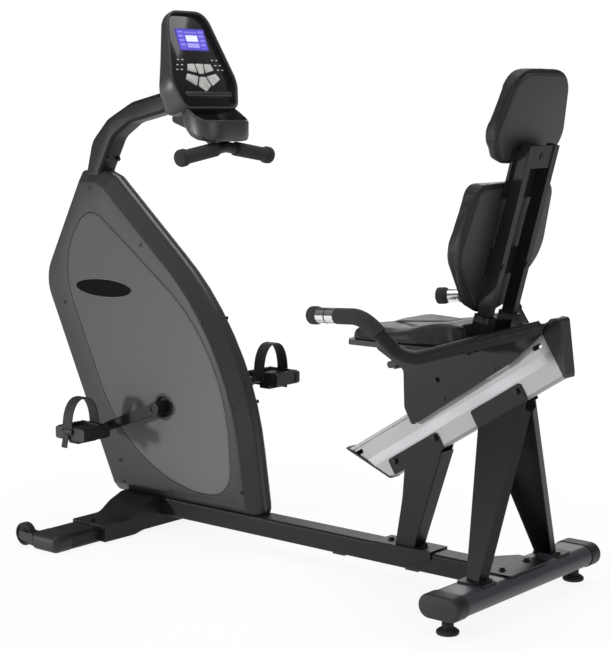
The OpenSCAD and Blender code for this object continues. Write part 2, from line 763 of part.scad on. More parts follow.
module shroud_shell() {
    flat_y = shroud_half;
    difference() {
        half_shell(0, flat_y);
        difference() {
            half_shell(shroud_wall, flat_y - shroud_wall);
            across(-2 * flat_y, -flat_y + shroud_wall + panel_t) polygon(outline(inward(panel_shape, -4)));
        }
        // pocket for the side panel
        across(-flat_y - 1, -flat_y + panel_t) polygon(outline(panel_shape));
        pin_y(crank_x, crank_z, -flat_y - 1, 1, crank_hole_d);
        // the shells stand over the beam and around the mast
        translate([beam_front, -beam_w / 2 - slack, -10]) cube([500, beam_w, 10 + beam_top + slack]);
        along(saddle_x[0] - slack, saddle_x[1] + slack) polygon(outline(inward(saddle_shape, -slack)));
        across(-mast_w / 2 - slack, 1) polygon([[-1262, 800], [-1246, 880], [-1180, 880], [-1202, 800]]);
        for (p = shroud_screws) pin_y(p[0], p[1], -flat_y - 1, 1, 5);
    }
}

module shroud_left() {
    color("#3a393e") place() shroud_shell();
}

module shroud_right() {
    color("#3a393e") place() difference() {
        mirror([0, 1, 0]) shroud_shell();
        pin_y(inlet[0], inlet[1], 0, shroud_half + 1, inlet_d);
    }
}

module side_panels() {
    color("#8d8d92") place() both_sides() difference() {
        across(-shroud_half - 0.8, -shroud_half + panel_t) polygon(outline(panel_shape));
        pin_y(crank_x, crank_z, -shroud_half - 2, 1, crank_hole_d);
    }
}

badge = [-1162, 582];
badge_half = [99, 23];

module badges() {
    color("#141416") place() both_sides() across(-shroud_half - 1.8, -shroud_half - 0.8)
        polygon([for (a = [0:7.5:352.5]) badge + [badge_half[0] * cos(a), badge_half[1] * sin(a)]]);
}

inlet = [-735, 114];
inlet_d = 12;

module power_inlet() {
    color("#111113") place() difference() {
        union() {
            pin_y(inlet[0], inlet[1], shroud_half - 14, shroud_half, inlet_d);
            pin_y(inlet[0], inlet[1], shroud_half, shroud_half + 1.5, inlet_d + 5);
        }
        pin_y(inlet[0], inlet[1], shroud_half - 10.5, shroud_half + 2, 5.6);
    }
}

// ---- crank and drive ----

module crank_bearings() {
    color("#b8b8bc") place() for (y = [-shell_half, belt_y - 10 - bearing_t])
        difference() {
            pin_y(crank_x, crank_z, y, y + bearing_t, bearing_d);
            pin_y(crank_x, crank_z, y - 1, y + bearing_t + 1, axle_d + 2 * run_fit);
        }
}

module crank_axle() {
    color("#9b9ba0") place() pin_y(crank_x, crank_z, -crank_face + 3, crank_face - 3, axle_d);
}

module crank_arm(side) {
    // the two arms point opposite ways
    px = -side * pedal_dx;
    pz = -side * pedal_dz;
    y0 = crank_face - arm_t;
    difference() {
        union() {
            across(y0 + 2, crank_face) translate([crank_x, crank_z]) link([0, 0], 14, [px, pz], 11);
            pin_y(crank_x, crank_z, shroud_half + 3, crank_face, 32);
        }
        pin_y(crank_x, crank_z, 0, crank_face - 3, axle_d);
        pin_y(crank_x + px, crank_z + pz, y0, crank_face + 1, spindle_d);
        pin_y(crank_x, crank_z, crank_face - 2, crank_face + 1, 20);
    }
    // spindle that the pedal turns on
    pin_y(crank_x + px, crank_z + pz, y0 + 2, pedal_y + pedal_w / 2 - 10, spindle_d);
}

spindle_d = 14;

module crank_arms() {
    color("#26262a") place() {
        mirror([0, 1, 0]) crank_arm(1);
        crank_arm(-1);
    }
}

module drive_pulley() {
    color("#3d3d42") place() difference() {
        union() {
            translate([crank_x, belt_y, crank_z]) rotate([90, 0, 0])
                rotate_extrude($fn = 96)
                    polygon([[axle_d / 2, -7], [30, -7], [34, -3], [pulley_d / 2 - 14, -3],
                    [pulley_d / 2 - 10, -belt_w / 2 - 1], [pulley_d / 2 + 2, -belt_w / 2 - 1],
                    [pulley_d / 2, -belt_w / 2], [pulley_d / 2, belt_w / 2],
                    [pulley_d / 2 + 2, belt_w / 2 + 1], [pulley_d / 2 - 10, belt_w / 2 + 1],
                    [pulley_d / 2 - 14, 3], [34, 3], [30, 7], [axle_d / 2, 7]]);
        }
        for (a = [0:60:300]) translate([crank_x, 0, crank_z]) rotate([0, a, 0])
            translate([70, 0, 0]) rotate([90, 0, 0]) cylinder(h = 100, d = 34, center = true);
    }
}

module flywheel() {
    color("#55555a") place() translate([fly_x, 0, fly_z]) rotate([90, 0, 0]) difference() {
        union() {
            rotate_extrude($fn = 96) polygon([
                [fly_pin_d / 2 + run_fit, -flywheel_t / 2 - 4], [22, -flywheel_t / 2 - 4],
                [22, -6], [flywheel_d / 2 - 34, -6], [flywheel_d / 2 - 30, -flywheel_t / 2],
                [flywheel_d / 2, -flywheel_t / 2], [flywheel_d / 2, flywheel_t / 2],
                [flywheel_d / 2 - 30, flywheel_t / 2], [flywheel_d / 2 - 34, 6], [22, 6],
                [22, flywheel_t / 2 + 4], [fly_pin_d / 2 + run_fit, flywheel_t / 2 + 4]]);
            translate([0, 0, -belt_y - belt_w / 2 - 1]) cylinder(h = belt_y + belt_w / 2 + 1 - flywheel_t / 2,
                d = sheave_d);
            for (z = [-belt_y - belt_w / 2 - 1, -belt_y + belt_w / 2]) translate([0, 0, z])
                cylinder(h = 1, d = sheave_d + 8);
        }
        cylinder(h = 200, d = fly_pin_d + 2 * run_fit, center = true);
    }
}

// Ribbed belt around the two pulleys
module drive_belt() {
    r1 = pulley_d / 2 + slack;
    r2 = sheave_d / 2 + slack;
    a = [crank_x, crank_z];
    b = [fly_x, fly_z];
    color("#161618") place() across(belt_y - belt_w / 2 + 0.5, belt_y + belt_w / 2 - 0.5) difference() {
        link(a, r1 + belt_t - slack, b, r2 + belt_t - slack, 96);
        link(a, r1, b, r2, 96);
    }
}

arm_inner = 3;
arm_outer = 12;
arm_half = 14;

module magnet_arm() {
    r0 = flywheel_d / 2 + arm_inner;
    r1 = flywheel_d / 2 + arm_outer;
    color("#8a8a90") place() difference() {
        union() {
            // curved bar of magnets over the flywheel's rim
            translate([fly_x, arm_half, fly_z]) rotate([90, 0, 0]) rotate([0, 0, 96])
                rotate_extrude(angle = 50) translate([r0, 1]) square([r1 - r0, 2 * arm_half - 2]);
            pin_y(arm_pivot[0], arm_pivot[1], -arm_half, arm_half, 18);
        }
        pin_y(arm_pivot[0], arm_pivot[1], -30, 30, 8 + 2 * run_fit);
        across(-8 - slack, 8 + slack) translate(arm_pivot)
            polygon([[-40, -24], [12, -24], [12, 24], [-40, 24]]);
    }
}

module tension_motor() {
    color("#2f4f4f") place() {
        across(-16, 16)
            polygon(outline([[-1172, 712, 4], [-1116, 712, 4], [-1116, 752, 4], [-1172, 752, 4]]));
        pin_y(-1132, 734, -24, -16, 16);
    }
}

module pedal_body(side) {
    cx = crank_x + side * pedal_dx;
    cz = crank_z + side * pedal_dz;
    y0 = side * pedal_y;
    translate([cx, y0, cz]) difference() {
        union() {
            along(-pedal_len / 2 + 8, pedal_len / 2 - 8) rounded(pedal_w - 2, pedal_t - 8, 4);
            for (s = [-1, 1]) translate([s * (pedal_len / 2 - 9), 0, 0])
                along(-6.5, 6.5) rounded(pedal_w - 3, pedal_t - 1, 5);
            for (s = [-1, 1]) translate([0, s * (pedal_w / 2 - 6), 0])
                across(-6, 6) rounded(pedal_len, pedal_t, 7);
            // ballast that keeps the tread upwards
            translate([0, 0, -pedal_t / 2 - 3]) along(-14, 14) rounded(pedal_w - 19, 14, 4);
        }
        rotate([90, 0, 0]) cylinder(h = 200, d = spindle_d + 2 * run_fit, center = true);
        for (s = [-1, 1]) translate([s * 26, 0, 0]) linear_extrude(60, center = true) rounded(16, 48, 4);
    }
}

module pedal_left() {
    color("#1b1b1d") place() pedal_body(-1);
}

module pedal_right() {
    color("#1b1b1d") place() pedal_body(1);
}

strap_rise = 84;
strap_w = 32;
strap_t = 3;

module pedal_strap(side) {
    cx = crank_x + side * pedal_dx;
    cz = crank_z + side * pedal_dz;
    translate([cx, side * pedal_y, cz]) along(-strap_w / 2 - 6, strap_w / 2 - 6) difference() {
        polygon(strap_line(pedal_w / 2 + strap_t + slack, strap_rise));
        polygon(strap_line(pedal_w / 2 + slack, strap_rise - strap_t));
    }
}

// Arch over the foot, from one edge of the pedal to the other
function strap_line(half, rise) = concat([[half, spindle_d / 2 + 1]],
    [for (a = [0:step_deg:180]) [half * cos(a), pedal_t / 2 - 6 + (rise - pedal_t / 2 + 6) * sin(a)]],
    [[-half, spindle_d / 2 + 1]]);

module pedal_strap_left() {
    color("#202023") place() pedal_strap(-1);
}

module pedal_strap_right() {
    color("#202023") place() pedal_strap(1);
}

// ---- console ----

module console_shape(inset) {
    w = console_w / 2;
    polygon(outline([[-64 + inset, 70 - inset, 44 - inset], [-w - 4 + inset, -106, 70 - inset],
        [-88 + inset, -172 + inset, 26 - inset / 2], [88 - inset, -172 + inset, 26 - inset / 2],
        [w + 4 - inset, -106, 70 - inset], [64 - inset, 70 - inset, 44 - inset]]));
}

tray_wall = 3;

module tray_plan(inset) {
    polygon(outline([[-900, -86 + inset, 0], [-836, -90 + inset, 30], [-770 - inset, -62, 50 - inset],
        [-770 - inset, 62, 50 - inset], [-836, 90 - inset, 30], [-900, 86 - inset, 0]]));
}

// Side view of the tray's bowl, below the console
module tray_side(inset) {
    polygon([[-900, 1050], [-848, 1022], [-800, 992], [-740, 992], [-740, 945 + inset],
        [-806 + inset, 945 + inset], [-838, 968 + inset], [-884, 1010 + inset], [-900, 1026]]);
}

module tray_solid(inset) {
    intersection() {
        translate([0, 0, 900]) linear_extrude(200) tray_plan(inset);
        across(-110, 110) tray_side(inset);
    }
}

module console_back() {
    color("#3c3b41") place() difference() {
        union() {
            on_face() translate([0, 0, -console_d]) linear_extrude(console_d + rim_h) console_shape(0);
            tray_solid(0);
        }
        on_face() translate([0, 0, -console_d + 3]) linear_extrude(console_d - 3 - face_t) console_shape(5);
        on_face() translate([0, 0, -face_t]) linear_extrude(40) console_shape(7);
        // bowl of the tray, open towards the rider
        intersection() {
            translate([0, 0, 900]) linear_extrude(200) tray_plan(tray_wall);
            across(-100, 100) polygon([[-834, 1040], [-834, 975], [-800, 949], [-741, 949], [-741, 1040]]);
            on_face() translate([-150, -400, rim_h]) cube([300, 500, 200]);
        }
        // socket for the mast
        across(-mast_w / 2 - slack, mast_w / 2 + slack)
            polygon([[-960, 1062], [-960, 1010], [-870, 1038], [-878, 1090]]);
    }
}

face_t = 3;

key_shapes = [
    [[-17, -60, 2], [-38, -61, 2], [-44, -76, 2], [-14, -82, 2]],
    [[13, -60, 2], [-13, -60, 2], [-8, -84, 2], [8, -84, 2]],
    [[38, -61, 2], [17, -60, 2], [14, -82, 2], [44, -76, 2]],
    [[-48, -84, 2], [-57, -98, 2], [-27, -114, 2], [-14, -91, 2]],
    [[9, -92, 2], [-9, -92, 2], [-20, -114, 2], [0, -128, 2], [20, -114, 2]],
    [[48, -84, 2], [14, -91, 2], [27, -114, 2], [57, -98, 2]]];
key_gap = 0.4;

module console_face() {
    color("#0c0c0e") place() on_face() difference() {
        translate([0, 0, -face_t]) linear_extrude(face_t) console_shape(7.2);
        translate([0, 0, -face_t - 1]) linear_extrude(face_t + 2) square([lcd_w, lcd_h], center = true);
        for (i = [0:5]) translate([0, 0, -face_t - 1]) linear_extrude(face_t + 2)
            polygon(outline(inward(key_shapes[i], -key_gap)));
    }
}

module lcd_lens() {
    color("#4a48a8") place() on_face() translate([0, 0, -2]) linear_extrude(1.6)
        square([lcd_w, lcd_h], center = true);
}

board_z = -12;

module console_board() {
    color("#1f5a34") place() on_face() {
        translate([0, 0, board_z]) linear_extrude(1.6) polygon(outline([[-60, 44, 4], [60, 44, 4],
            [78, -130, 4], [-78, -130, 4]]));
        for (x = [-54, 54], y = [32, -120]) translate([x, y, -console_d + 3])
            cylinder(h = board_z + console_d - 3, d = 8);
        translate([0, 0, board_z + 1.6]) linear_extrude(-2 - board_z - 1.6)
            square([lcd_w - 6, lcd_h - 6], center = true);
    }
}

key_out = 2.5;

module key(i) {
    color("#c9c9c6") place() on_face() {
        translate([0, 0, -face_t - 1]) linear_extrude(face_t + 1 + key_out) polygon(outline(key_shapes[i]));
        c = key_centre(i);
        translate([c[0], c[1], board_z + 1.6 + key_travel + 0.5])
            cylinder(h = -board_z - 1.6 - key_travel - 0.5 - face_t, d = 5);
    }
}

function key_centre(i) = let (k = key_shapes[i], n = len(k))
    [for (j = [0, 1]) [for (p = k) p[j]] * [for (p = k) 1 / n]];

module key_1() {
    key(0);
}

module key_2() {
    key(1);
}

module key_3() {
    key(2);
}

module key_4() {
    key(3);
}

module key_5() {
    key(4);
}

module key_6() {
    key(5);
}

// ---- front grip bar ----

grip_mid = [-800, 0, 931];
grip_end = [-799, -150, 908];

grip_bar_path = [[[grip_end[0], -grip_end[1], grip_end[2]], 0], [grip_mid, 60], [grip_end, 0]];

module grip_bar() {
    color("#26262a") place() {
        bent_bar(grip_bar_path, grip_bar_d, grip_bar_d - 5);
        // neck welded to the bar and bolted under the mast
        difference() {
            across(-14, 14) polygon(outline([[-952, 1006.5, 0], [-960, 988, 10], [-880, 962, 30],
                [-812, 918, 6], [-790, 928, 4], [-806, 942, 6], [-842, 962, 20], [-893, 1010, 10],
                [-890, 1030, 0]]));
            bent_bar(grip_bar_path, grip_bar_d - 2);
            across(-20, 20) polygon(outline(mast_shape));
            tray_solid(-0.6);
            on_face() translate([0, 0, -console_d - 0.6]) linear_extrude(console_d) console_shape(-0.6);
        }
    }
}

foam_start = 34;
knob_d = 40;

module bar_foams() {
    u = unit(grip_end - grip_mid);
    color("#2a2a2d") place() both_sides() translate(grip_mid) aim(u) rotate([0, 90, 0]) difference() {
        union() {
            translate([0, 0, foam_start]) cylinder(h = 108, d = foam_d);
            translate([0, 0, foam_start + 100]) rotate_extrude()
                polygon(outline([[0, 0, 0], [foam_d / 2, 0, 0], [knob_d / 2, 5, 6], [knob_d / 2, 22, 8],
                    [0, 26, 0]]));
        }
        translate([0, 0, foam_start - 1])
            cylinder(h = norm(grip_end - grip_mid) - foam_start + 1 + eps, d = grip_bar_d);
    }
}

// ---- seat carriage ----

slider_low = 76;
carriage_s = [96, 385];
cross_top = 561;

module carriage_plate() {
    across(-carriage_y - carriage_t, -carriage_y) polygon(outline([
        [-340, 508, 10], [-268, 470, 14], [-265, 389, 20],
        concat(rail_point(carriage_s[0], 72), 8), concat(rail_point(carriage_s[1], 78), 6),
        [84, 588, 8], [20, 590, 20], [-20, 566, 10], [-24, 556, 0], [-90, 556, 0], [-90, 533, 0],
        [-340, 533, 6]]));
}

module seat_carriage() {
    color("#2b2a2f") place() {
        difference() {
            union() {
                both_sides() carriage_plate();
                // top plate under the seat
                translate([-336, -carriage_y - carriage_t, 529])
                    cube([246, 2 * (carriage_y + carriage_t), 4]);
                for (x = [-310, -120]) translate([x, -100, 529]) cube([30, 200, 4]);
                // cross piece that carries the backrest
                translate([-88, -post_gap / 2 - post_w / 2 - 5, cross_top - 5])
                    cube([64, post_gap + post_w + 10, 5]);
                // tie plate over the rail
                on_rail() translate([180, -carriage_y - 1, rail_h + 8]) cube([130, 2 * carriage_y + 2, 4]);
            }
            for (p = carriage_bolts) pin_y(p[0], p[1], -60, 60, 6.6);
            for (p = slider_screws) pin_y(rail_point(p[0], p[1])[0], rail_point(p[0], p[1])[1], -60, 60, 5.4);
            pin_y(lever_x, lever_z, 0, 60, lever_pin_d);
        }
        // lugs for the side bars
        both_sides() difference() {
            for (t = bar_bolts) translate([bar_at(t)[0], -carriage_y - carriage_t + 1, bar_at(t)[2]])
                rotate([90, 0, 0]) cylinder(h = -bar_at(t)[1] - carriage_y - carriage_t, d = 16);
            translate(bar_low) aim(bar_end - bar_low) rotate([0, 90, 0])
                cylinder(h = norm(bar_end - bar_low) + 10, d = side_bar_d);
        }
    }
}

carriage_bolts = [[-183, 457], [-106, 522]];
// Sliders along the rail: start and length
slider_spans = [[108, 112], [313, 60]];
slider_screws = [[200, 87], [343, 85]];
bar_end = [78, -44, 592];
bar_low = [-118, -230, 527];
bar_bolts = [0.72, 0.95];
bar_out = unit([bar_end[1] - bar_low[1], bar_low[0] - bar_end[0], 0]);
function bar_at(t) = bar_low + (bar_end - bar_low) * t;

module carriage_sliders() {
    color("#e4e2d8") place() on_rail() both_sides() for (i = [0, 1]) difference() {
        translate([slider_spans[i][0], -carriage_y, slider_low])
            cube([slider_spans[i][1], carriage_y - web_w / 2 - slack,
                rail_h - rail_lip - slack - slider_low]);
        translate([slider_screws[i][0], -carriage_y + 6, slider_screws[i][1]]) rotate([90, 0, 0])
            cylinder(h = 10, d = 5);
    }
    color("#e4e2d8") place() on_rail() translate([190, -rail_lip_w / 2, rail_h + slack])
        cube([110, rail_lip_w, 8 - slack]);
}

lever_x = -240;
lever_z = 512;

lever_grip = [-104, -46];
lever_pin_d = 10;

module release_lever() {
    y0 = carriage_y + carriage_t + slack;
    color("#26262a") place() difference() {
        union() {
            pin_y(lever_x, lever_z, y0, y0 + 12, 24);
            across(y0, y0 + 6) translate([lever_x, lever_z]) link([0, 0], 10, lever_grip, 6);
            pin_y(lever_x + lever_grip[0], lever_z + lever_grip[1], y0, y0 + 60, 16);
            pin_y(lever_x + lever_grip[0], lever_z + lever_grip[1], y0 + 18, y0 + 92, 24);
        }
        pin_y(lever_x, lever_z, 0, 100, lever_pin_d + 2 * run_fit);
    }
}

seat_half = seat_w / 2;

module seat_plan(inset) {
    polygon(outline([[seat_front + 4 + inset, -seat_half * 0.5, 200],
        [seat_front + 26 + inset, -seat_half + inset, 18],
        [-176, -seat_half + 2 + inset, 40], [seat_back - inset, -seat_half + 26 + inset, 26],
        [seat_back - inset, seat_half - 26 - inset, 26], [-176, seat_half - 2 - inset, 40],
        [seat_front + 26 + inset, seat_half - inset, 18], [seat_front + 4 + inset, seat_half * 0.5, 200]]));
}

module seat_shell() {
    color("#1e1e20") place() difference() {
        translate([0, 0, 533]) linear_extrude(shell_t) seat_plan(-5);
        translate([-92, -post_gap / 2 - post_w / 2 - 6, 500]) cube([100, post_gap + post_w + 12, 100]);
        // underside is hollow around the carriage
        difference() {
            translate([0, 0, 532]) linear_extrude(5) seat_plan(2);
            translate([-341, -102, 530]) cube([262, 204, 9]);
        }
    }
}

module seat_cushion() {
    color("#29292b") place() intersection() {
        translate([0, 0, 500]) linear_extrude(200) seat_plan(0);
        across(-200, 200) polygon(outline([[-360, seat_z, 0], [-360, seat_z + seat_t, 30],
            [-210, seat_z + seat_t, 60], [-120, seat_z + seat_t + 16, 60], [-60, seat_z + seat_t + 22, 0],
            [0, seat_z + seat_t + 22, 0], [0, seat_z, 0]]));
        // clearance in front of the backrest posts
        difference() {
            translate([-400, -200, 500]) cube([400, 400, 200]);
            translate([-92, -post_gap / 2 - post_w / 2 - 6, 500]) cube([100, post_gap + post_w + 12, 200]);
        }
    }
}

// ---- side bars ----

bar_path = [[grip_tip, 0], [[-196, -260, 612], 60], [bar_low, 60], [bar_end, 0]];
sensor_len = 26;
sensor_start = 24;

module side_bars() {
    color("#2a2a2e") place() both_sides() difference() {
        bent_bar(bar_path, side_bar_d, side_bar_d - 2 * side_bar_wall);
        for (t = bar_bolts) translate(bar_at(t)) aim(bar_out) rotate([0, 90, 0])
            cylinder(h = side_bar_d, d = 8);
    }
}

module along_grip() {
    translate(grip_tip) aim(bar_path[1][0] - grip_tip) rotate([0, 90, 0]) children();
}

module side_bar_grips() {
    color("#232325") place() both_sides() {
        along_grip() {
            translate([0, 0, -6]) difference() {
                rotate_extrude() polygon(outline([[0, 0, 0], [15, 0, 4], [19, 3, 4], [19, 20, 4],
                    [foam_d / 2, 26, 0], [foam_d / 2, sensor_start + 6, 0], [0, sensor_start + 6, 0]]));
                translate([0, 0, 6]) cylinder(h = 60, d = side_bar_d);
            }
            translate([0, 0, sensor_start + sensor_len]) linear_extrude(4) ring(foam_d, side_bar_d);
            translate([0, 0, sensor_start + 2 * sensor_len + 4]) linear_extrude(4) ring(foam_d, side_bar_d);
        }
        // foam over the bend
        bent_bar(path_part(bar_path, sensor_start + 2 * sensor_len + 8, 46), foam_d,
            side_bar_d + 2.5 * swell);
    }
}

module pulse_sensors() {
    color("#c4c4c8") place() both_sides() along_grip() for (i = [0, 1])
        translate([0, 0, sensor_start + i * (sensor_len + 4)]) linear_extrude(sensor_len)
            ring(foam_d, side_bar_d);
}

module seat_fasteners() {
    color("#101012") place() {
        for (p = carriage_bolts) cross_bolt(p[0], p[1], carriage_y + carriage_t, 6);
        both_sides() for (p = slider_screws)
            translate([rail_point(p[0], p[1])[0], -carriage_y - carriage_t, rail_point(p[0], p[1])[1]])
                rotate([90, 0, 0]) screw();
        both_sides() for (t = bar_bolts) translate(bar_at(t) + bar_out * side_bar_d / 2)
            aim(bar_out) rotate([0, 90, 0]) screw(8);
        // pin of the release lever
        pin_y(lever_x, lever_z, carriage_y, carriage_y + carriage_t + 14, lever_pin_d);
        on_back() {
            for (s = [-1, 1]) translate([post_d / 2, s * post_gap / 2, pad_bolt_z])
                rotate([0, 90, 0]) screw(8);
            translate([top_plate_x + 4, 0, post_len - 22]) rotate([0, 90, 0]) screw(8);
            for (s = [-1, 1]) translate([0, s * (post_gap / 2 + post_w / 2 + 4), 12])
                rotate([-s * 90, 0, 0]) screw(8);
        }
    }
}

// ---- backrest ----

pad_bolt_z = 126;
top_plate_x = 8;

neck_plate = [262, 362];

module backrest_frame() {
    color("#2b2a2f") place() {
        difference() {
            on_back() {
                for (s = [-1, 1]) difference() {
                    translate([-post_d / 2, s * post_gap / 2 - post_w / 2, -40])
                        cube([post_d, post_w, post_len + 40]);
                    // the posts thin towards the top
                    across(s * post_gap / 2 - post_w, s * post_gap / 2 + post_w)
                        polygon([[-post_d / 2 - 1, post_len - 150], [-post_d / 2, post_len - 150],
                            [-post_d / 2 + 8, post_len + 1], [-post_d / 2 - 1, post_len + 1]]);
                }
                // sockets at the feet
                for (s = [-1, 1]) translate([-post_d / 2 - 4, s * post_gap / 2 - post_w / 2 - 4, -40])
                    cube([post_d + 8, post_w + 8, 60]);
                // plate that joins the posts at the top
                translate([top_plate_x, -post_gap / 2 - 10, post_len - 46]) cube([4, post_gap + 20, 46]);
                // bracket for the lower pad
                translate([pad_front, -post_gap / 2 - post_w / 2, pad_bolt_z - 26])
                    cube([6, post_gap + post_w, 52]);
                // neck plate behind both pads, with its spacers on the posts
                translate([pad_front, -post_gap / 2 - 16, neck_plate[0]])
                    cube([6, post_gap + 32, neck_plate[1] - neck_plate[0]]);
                for (s = [-1, 1]) translate([pad_front, s * post_gap / 2 - post_w / 2, neck_plate[0]])
                    cube([16, post_w, neck_plate[1] - neck_plate[0]]);
            }
            // the sockets stand on the carriage
            translate([-200, -100, cross_top - 60]) cube([300, 200, 60]);
            on_back() {
                for (s = [-1, 1]) {
                    translate([post_d / 2, s * post_gap / 2, pad_bolt_z]) rotate([0, 90, 0])
                        cylinder(h = 24, d = 8, center = true);
                    translate([0, s * (post_gap / 2 + post_w / 2 + 4), 12]) rotate([90, 0, 0])
                        cylinder(h = 24, d = 8, center = true);
                }
                translate([top_plate_x, 0, post_len - 22]) rotate([0, 90, 0])
                    cylinder(h = 24, d = 8, center = true);
            }
        }
    }
}

// Outlines of the pads, from the bottom corner up to the top corner
lower_shape = [[52, 14, 40], [back_w / 2, 14 + back_h * 0.43, 90], [back_w / 2 - 21, 14 + back_h, 34]];
head_shape = [[86, 328, 30], [head_w / 2, 328 + head_h * 0.27, 60], [head_w / 2 - 34, 328 + head_h, 36]];
pad_front = -post_d / 2 - 6;
back_t = 6;

function mirrored(pts) = let (n = len(pts))
    concat(pts, [for (i = [0:n - 1]) [-pts[n - 1 - i][0], pts[n - 1 - i][1], pts[n - 1 - i][2]]]);

// Pads stand in front of the posts and lean with them
module pad_layer(shape, inset, depth, t) {
    on_back() translate([pad_front, 0, 0]) rotate([90, 0, 90]) translate([0, 0, -depth - t])
        linear_extrude(t) polygon(outline(inward(mirrored(shape), inset)));
}

module pad(shape, t) {
    pad_layer(shape, 0, back_t, t - back_t - pad_edge);
    pad_layer(shape, pad_round, t - pad_edge - eps, pad_edge);
}

pad_edge = 18;
pad_round = 13;

module lower_pad() {
    color("#1f1f21") place() pad(lower_shape, pad_t);
}

module head_pad() {
    color("#1f1f21") place() pad(head_shape, pad_t - 6);
}

module pad_backs() {
    color("#2d2d31") place() {
        pad_layer(lower_shape, 5, 0, back_t);
        pad_layer(head_shape, 5, 0, back_t);
    }
}

main_beam();
front_stabiliser();
front_end_caps();
front_saddle();
transport_wheel(-1);  // transport_wheel_left
transport_wheel(1);  // transport_wheel_right
rear_stabiliser();
rear_end_caps();
levelling_foot(-1);  // levelling_foot_left
levelling_foot(1);  // levelling_foot_right
front_leg();
rear_legs();
rail();
rail_front_cap();
rail_rear_cover();
frame_fasteners();
inner_frame();
mast();
shroud_left();
shroud_right();
side_panels();
badges();
crank_bearings();
crank_axle();
crank_arms();
drive_pulley();
pedal_left();
pedal_right();
pedal_strap_left();
pedal_strap_right();
flywheel();
drive_belt();
magnet_arm();
tension_motor();
power_inlet();
console_back();
console_face();
lcd_lens();
console_board();
key_1();
key_2();
key_3();
key_4();
key_5();
key_6();
grip_bar();
bar_foams();
seat_carriage();
carriage_sliders();
release_lever();
seat_shell();
seat_cushion();
side_bars();
side_bar_grips();
pulse_sensors();
seat_fasteners();
backrest_frame();
lower_pad();
head_pad();
pad_backs();
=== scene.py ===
"""The looks of a recumbent exercise bike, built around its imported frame.

Lengths inside the classes are millimetres in the maker's own layout: x points to the
rear from the axis of the rear stabiliser, y to the rider's right and z up.
"""

import logging
import math
from dataclasses import dataclass
from enum import Enum
from typing import Callable, Dict, Iterable, List, Optional, Sequence, Tuple, Union

import bmesh
import bpy
from mathutils import Matrix, Vector


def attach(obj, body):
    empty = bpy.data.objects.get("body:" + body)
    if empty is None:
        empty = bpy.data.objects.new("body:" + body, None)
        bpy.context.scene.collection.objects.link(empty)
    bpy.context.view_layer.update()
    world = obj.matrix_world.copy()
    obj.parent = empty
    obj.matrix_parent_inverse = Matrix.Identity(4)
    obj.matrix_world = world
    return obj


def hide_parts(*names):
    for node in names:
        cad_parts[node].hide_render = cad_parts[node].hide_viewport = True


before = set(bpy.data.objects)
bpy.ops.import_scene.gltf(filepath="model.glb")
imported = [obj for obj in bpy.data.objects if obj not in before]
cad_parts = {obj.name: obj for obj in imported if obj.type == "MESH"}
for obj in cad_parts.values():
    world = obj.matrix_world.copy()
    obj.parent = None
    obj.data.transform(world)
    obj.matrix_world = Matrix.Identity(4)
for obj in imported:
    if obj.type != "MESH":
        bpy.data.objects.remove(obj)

LOG = logging.getLogger("bike")
# metres in a millimetre, and where the rear stabiliser's axis lies in the frame
MM = 0.001
ORIGIN_X = 636.239
# the angle that splits shading, how far off a height (mm) or a double (m) may lie, and the
# edges in a rounded corner
SHARP = math.radians(38)
FLAT = 0.02
MERGED = 2e-6
ROUNDS = 9
Corner = Tuple[float, float, float]
Colour = Tuple[float, float, float]
Point = Tuple[float, float, float]
Spot = Tuple[float, float]


def at(x: float, y: float, z: float) -> Vector:
    """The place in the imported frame, in metres, of a point in the maker's layout."""
    return Vector(((x + ORIGIN_X) * MM, y * MM, z * MM))


# ---------------------------------------------------------------- shaders


class Term:
    """A value socket that takes part in arithmetic."""

    def __init__(self, shader: "Shader", socket: bpy.types.NodeSocket) -> None:
        """Wraps one socket of one shader."""
        self.shader = shader
        self.socket = socket

    def __add__(self, other: "Number") -> "Term":
        """The sum."""
        return self.shader.math("ADD", self, other)

    __radd__ = __add__

    def __sub__(self, other: "Number") -> "Term":
        """The difference."""
        return self.shader.math("SUBTRACT", self, other)

    def __rsub__(self, other: "Number") -> "Term":
        """The difference from a number."""
        return self.shader.math("SUBTRACT", other, self)

    def __mul__(self, other: "Number") -> "Term":
        """The product."""
        return self.shader.math("MULTIPLY", self, other)

    __rmul__ = __mul__

    def wave(self) -> "Term":
        """The sine."""
        return self.shader.math("SINE", self)

    def part(self) -> "Term":
        """What is left over whole numbers."""
        return self.shader.math("FRACT", self)

    def most(self, other: "Number") -> "Term":
        """The greater of two values."""
        return self.shader.math("MAXIMUM", self, other)

    def ease(self, low: float, high: float) -> "Term":
        """0 at low, 1 at high and smooth in between.

        Args:
            low: the value that gives 0.
            high: the value that gives 1.

        Returns:
            The eased value.
        """
        made = self.shader.node(
            "ShaderNodeMapRange",
            {"interpolation_type": "SMOOTHSTEP"},
            {0: self, 1: low, 2: high, 3: 0.0, 4: 1.0},
        )
        return Term(self.shader, made.outputs[0])

    def within(self, low: float, high: float, soft: float) -> "Term":
        """1 between low and high, with soft edges."""
        return self.ease(low - soft, low + soft) * (1 - self.ease(high - soft, high + soft))


Number = Union[float, Term]


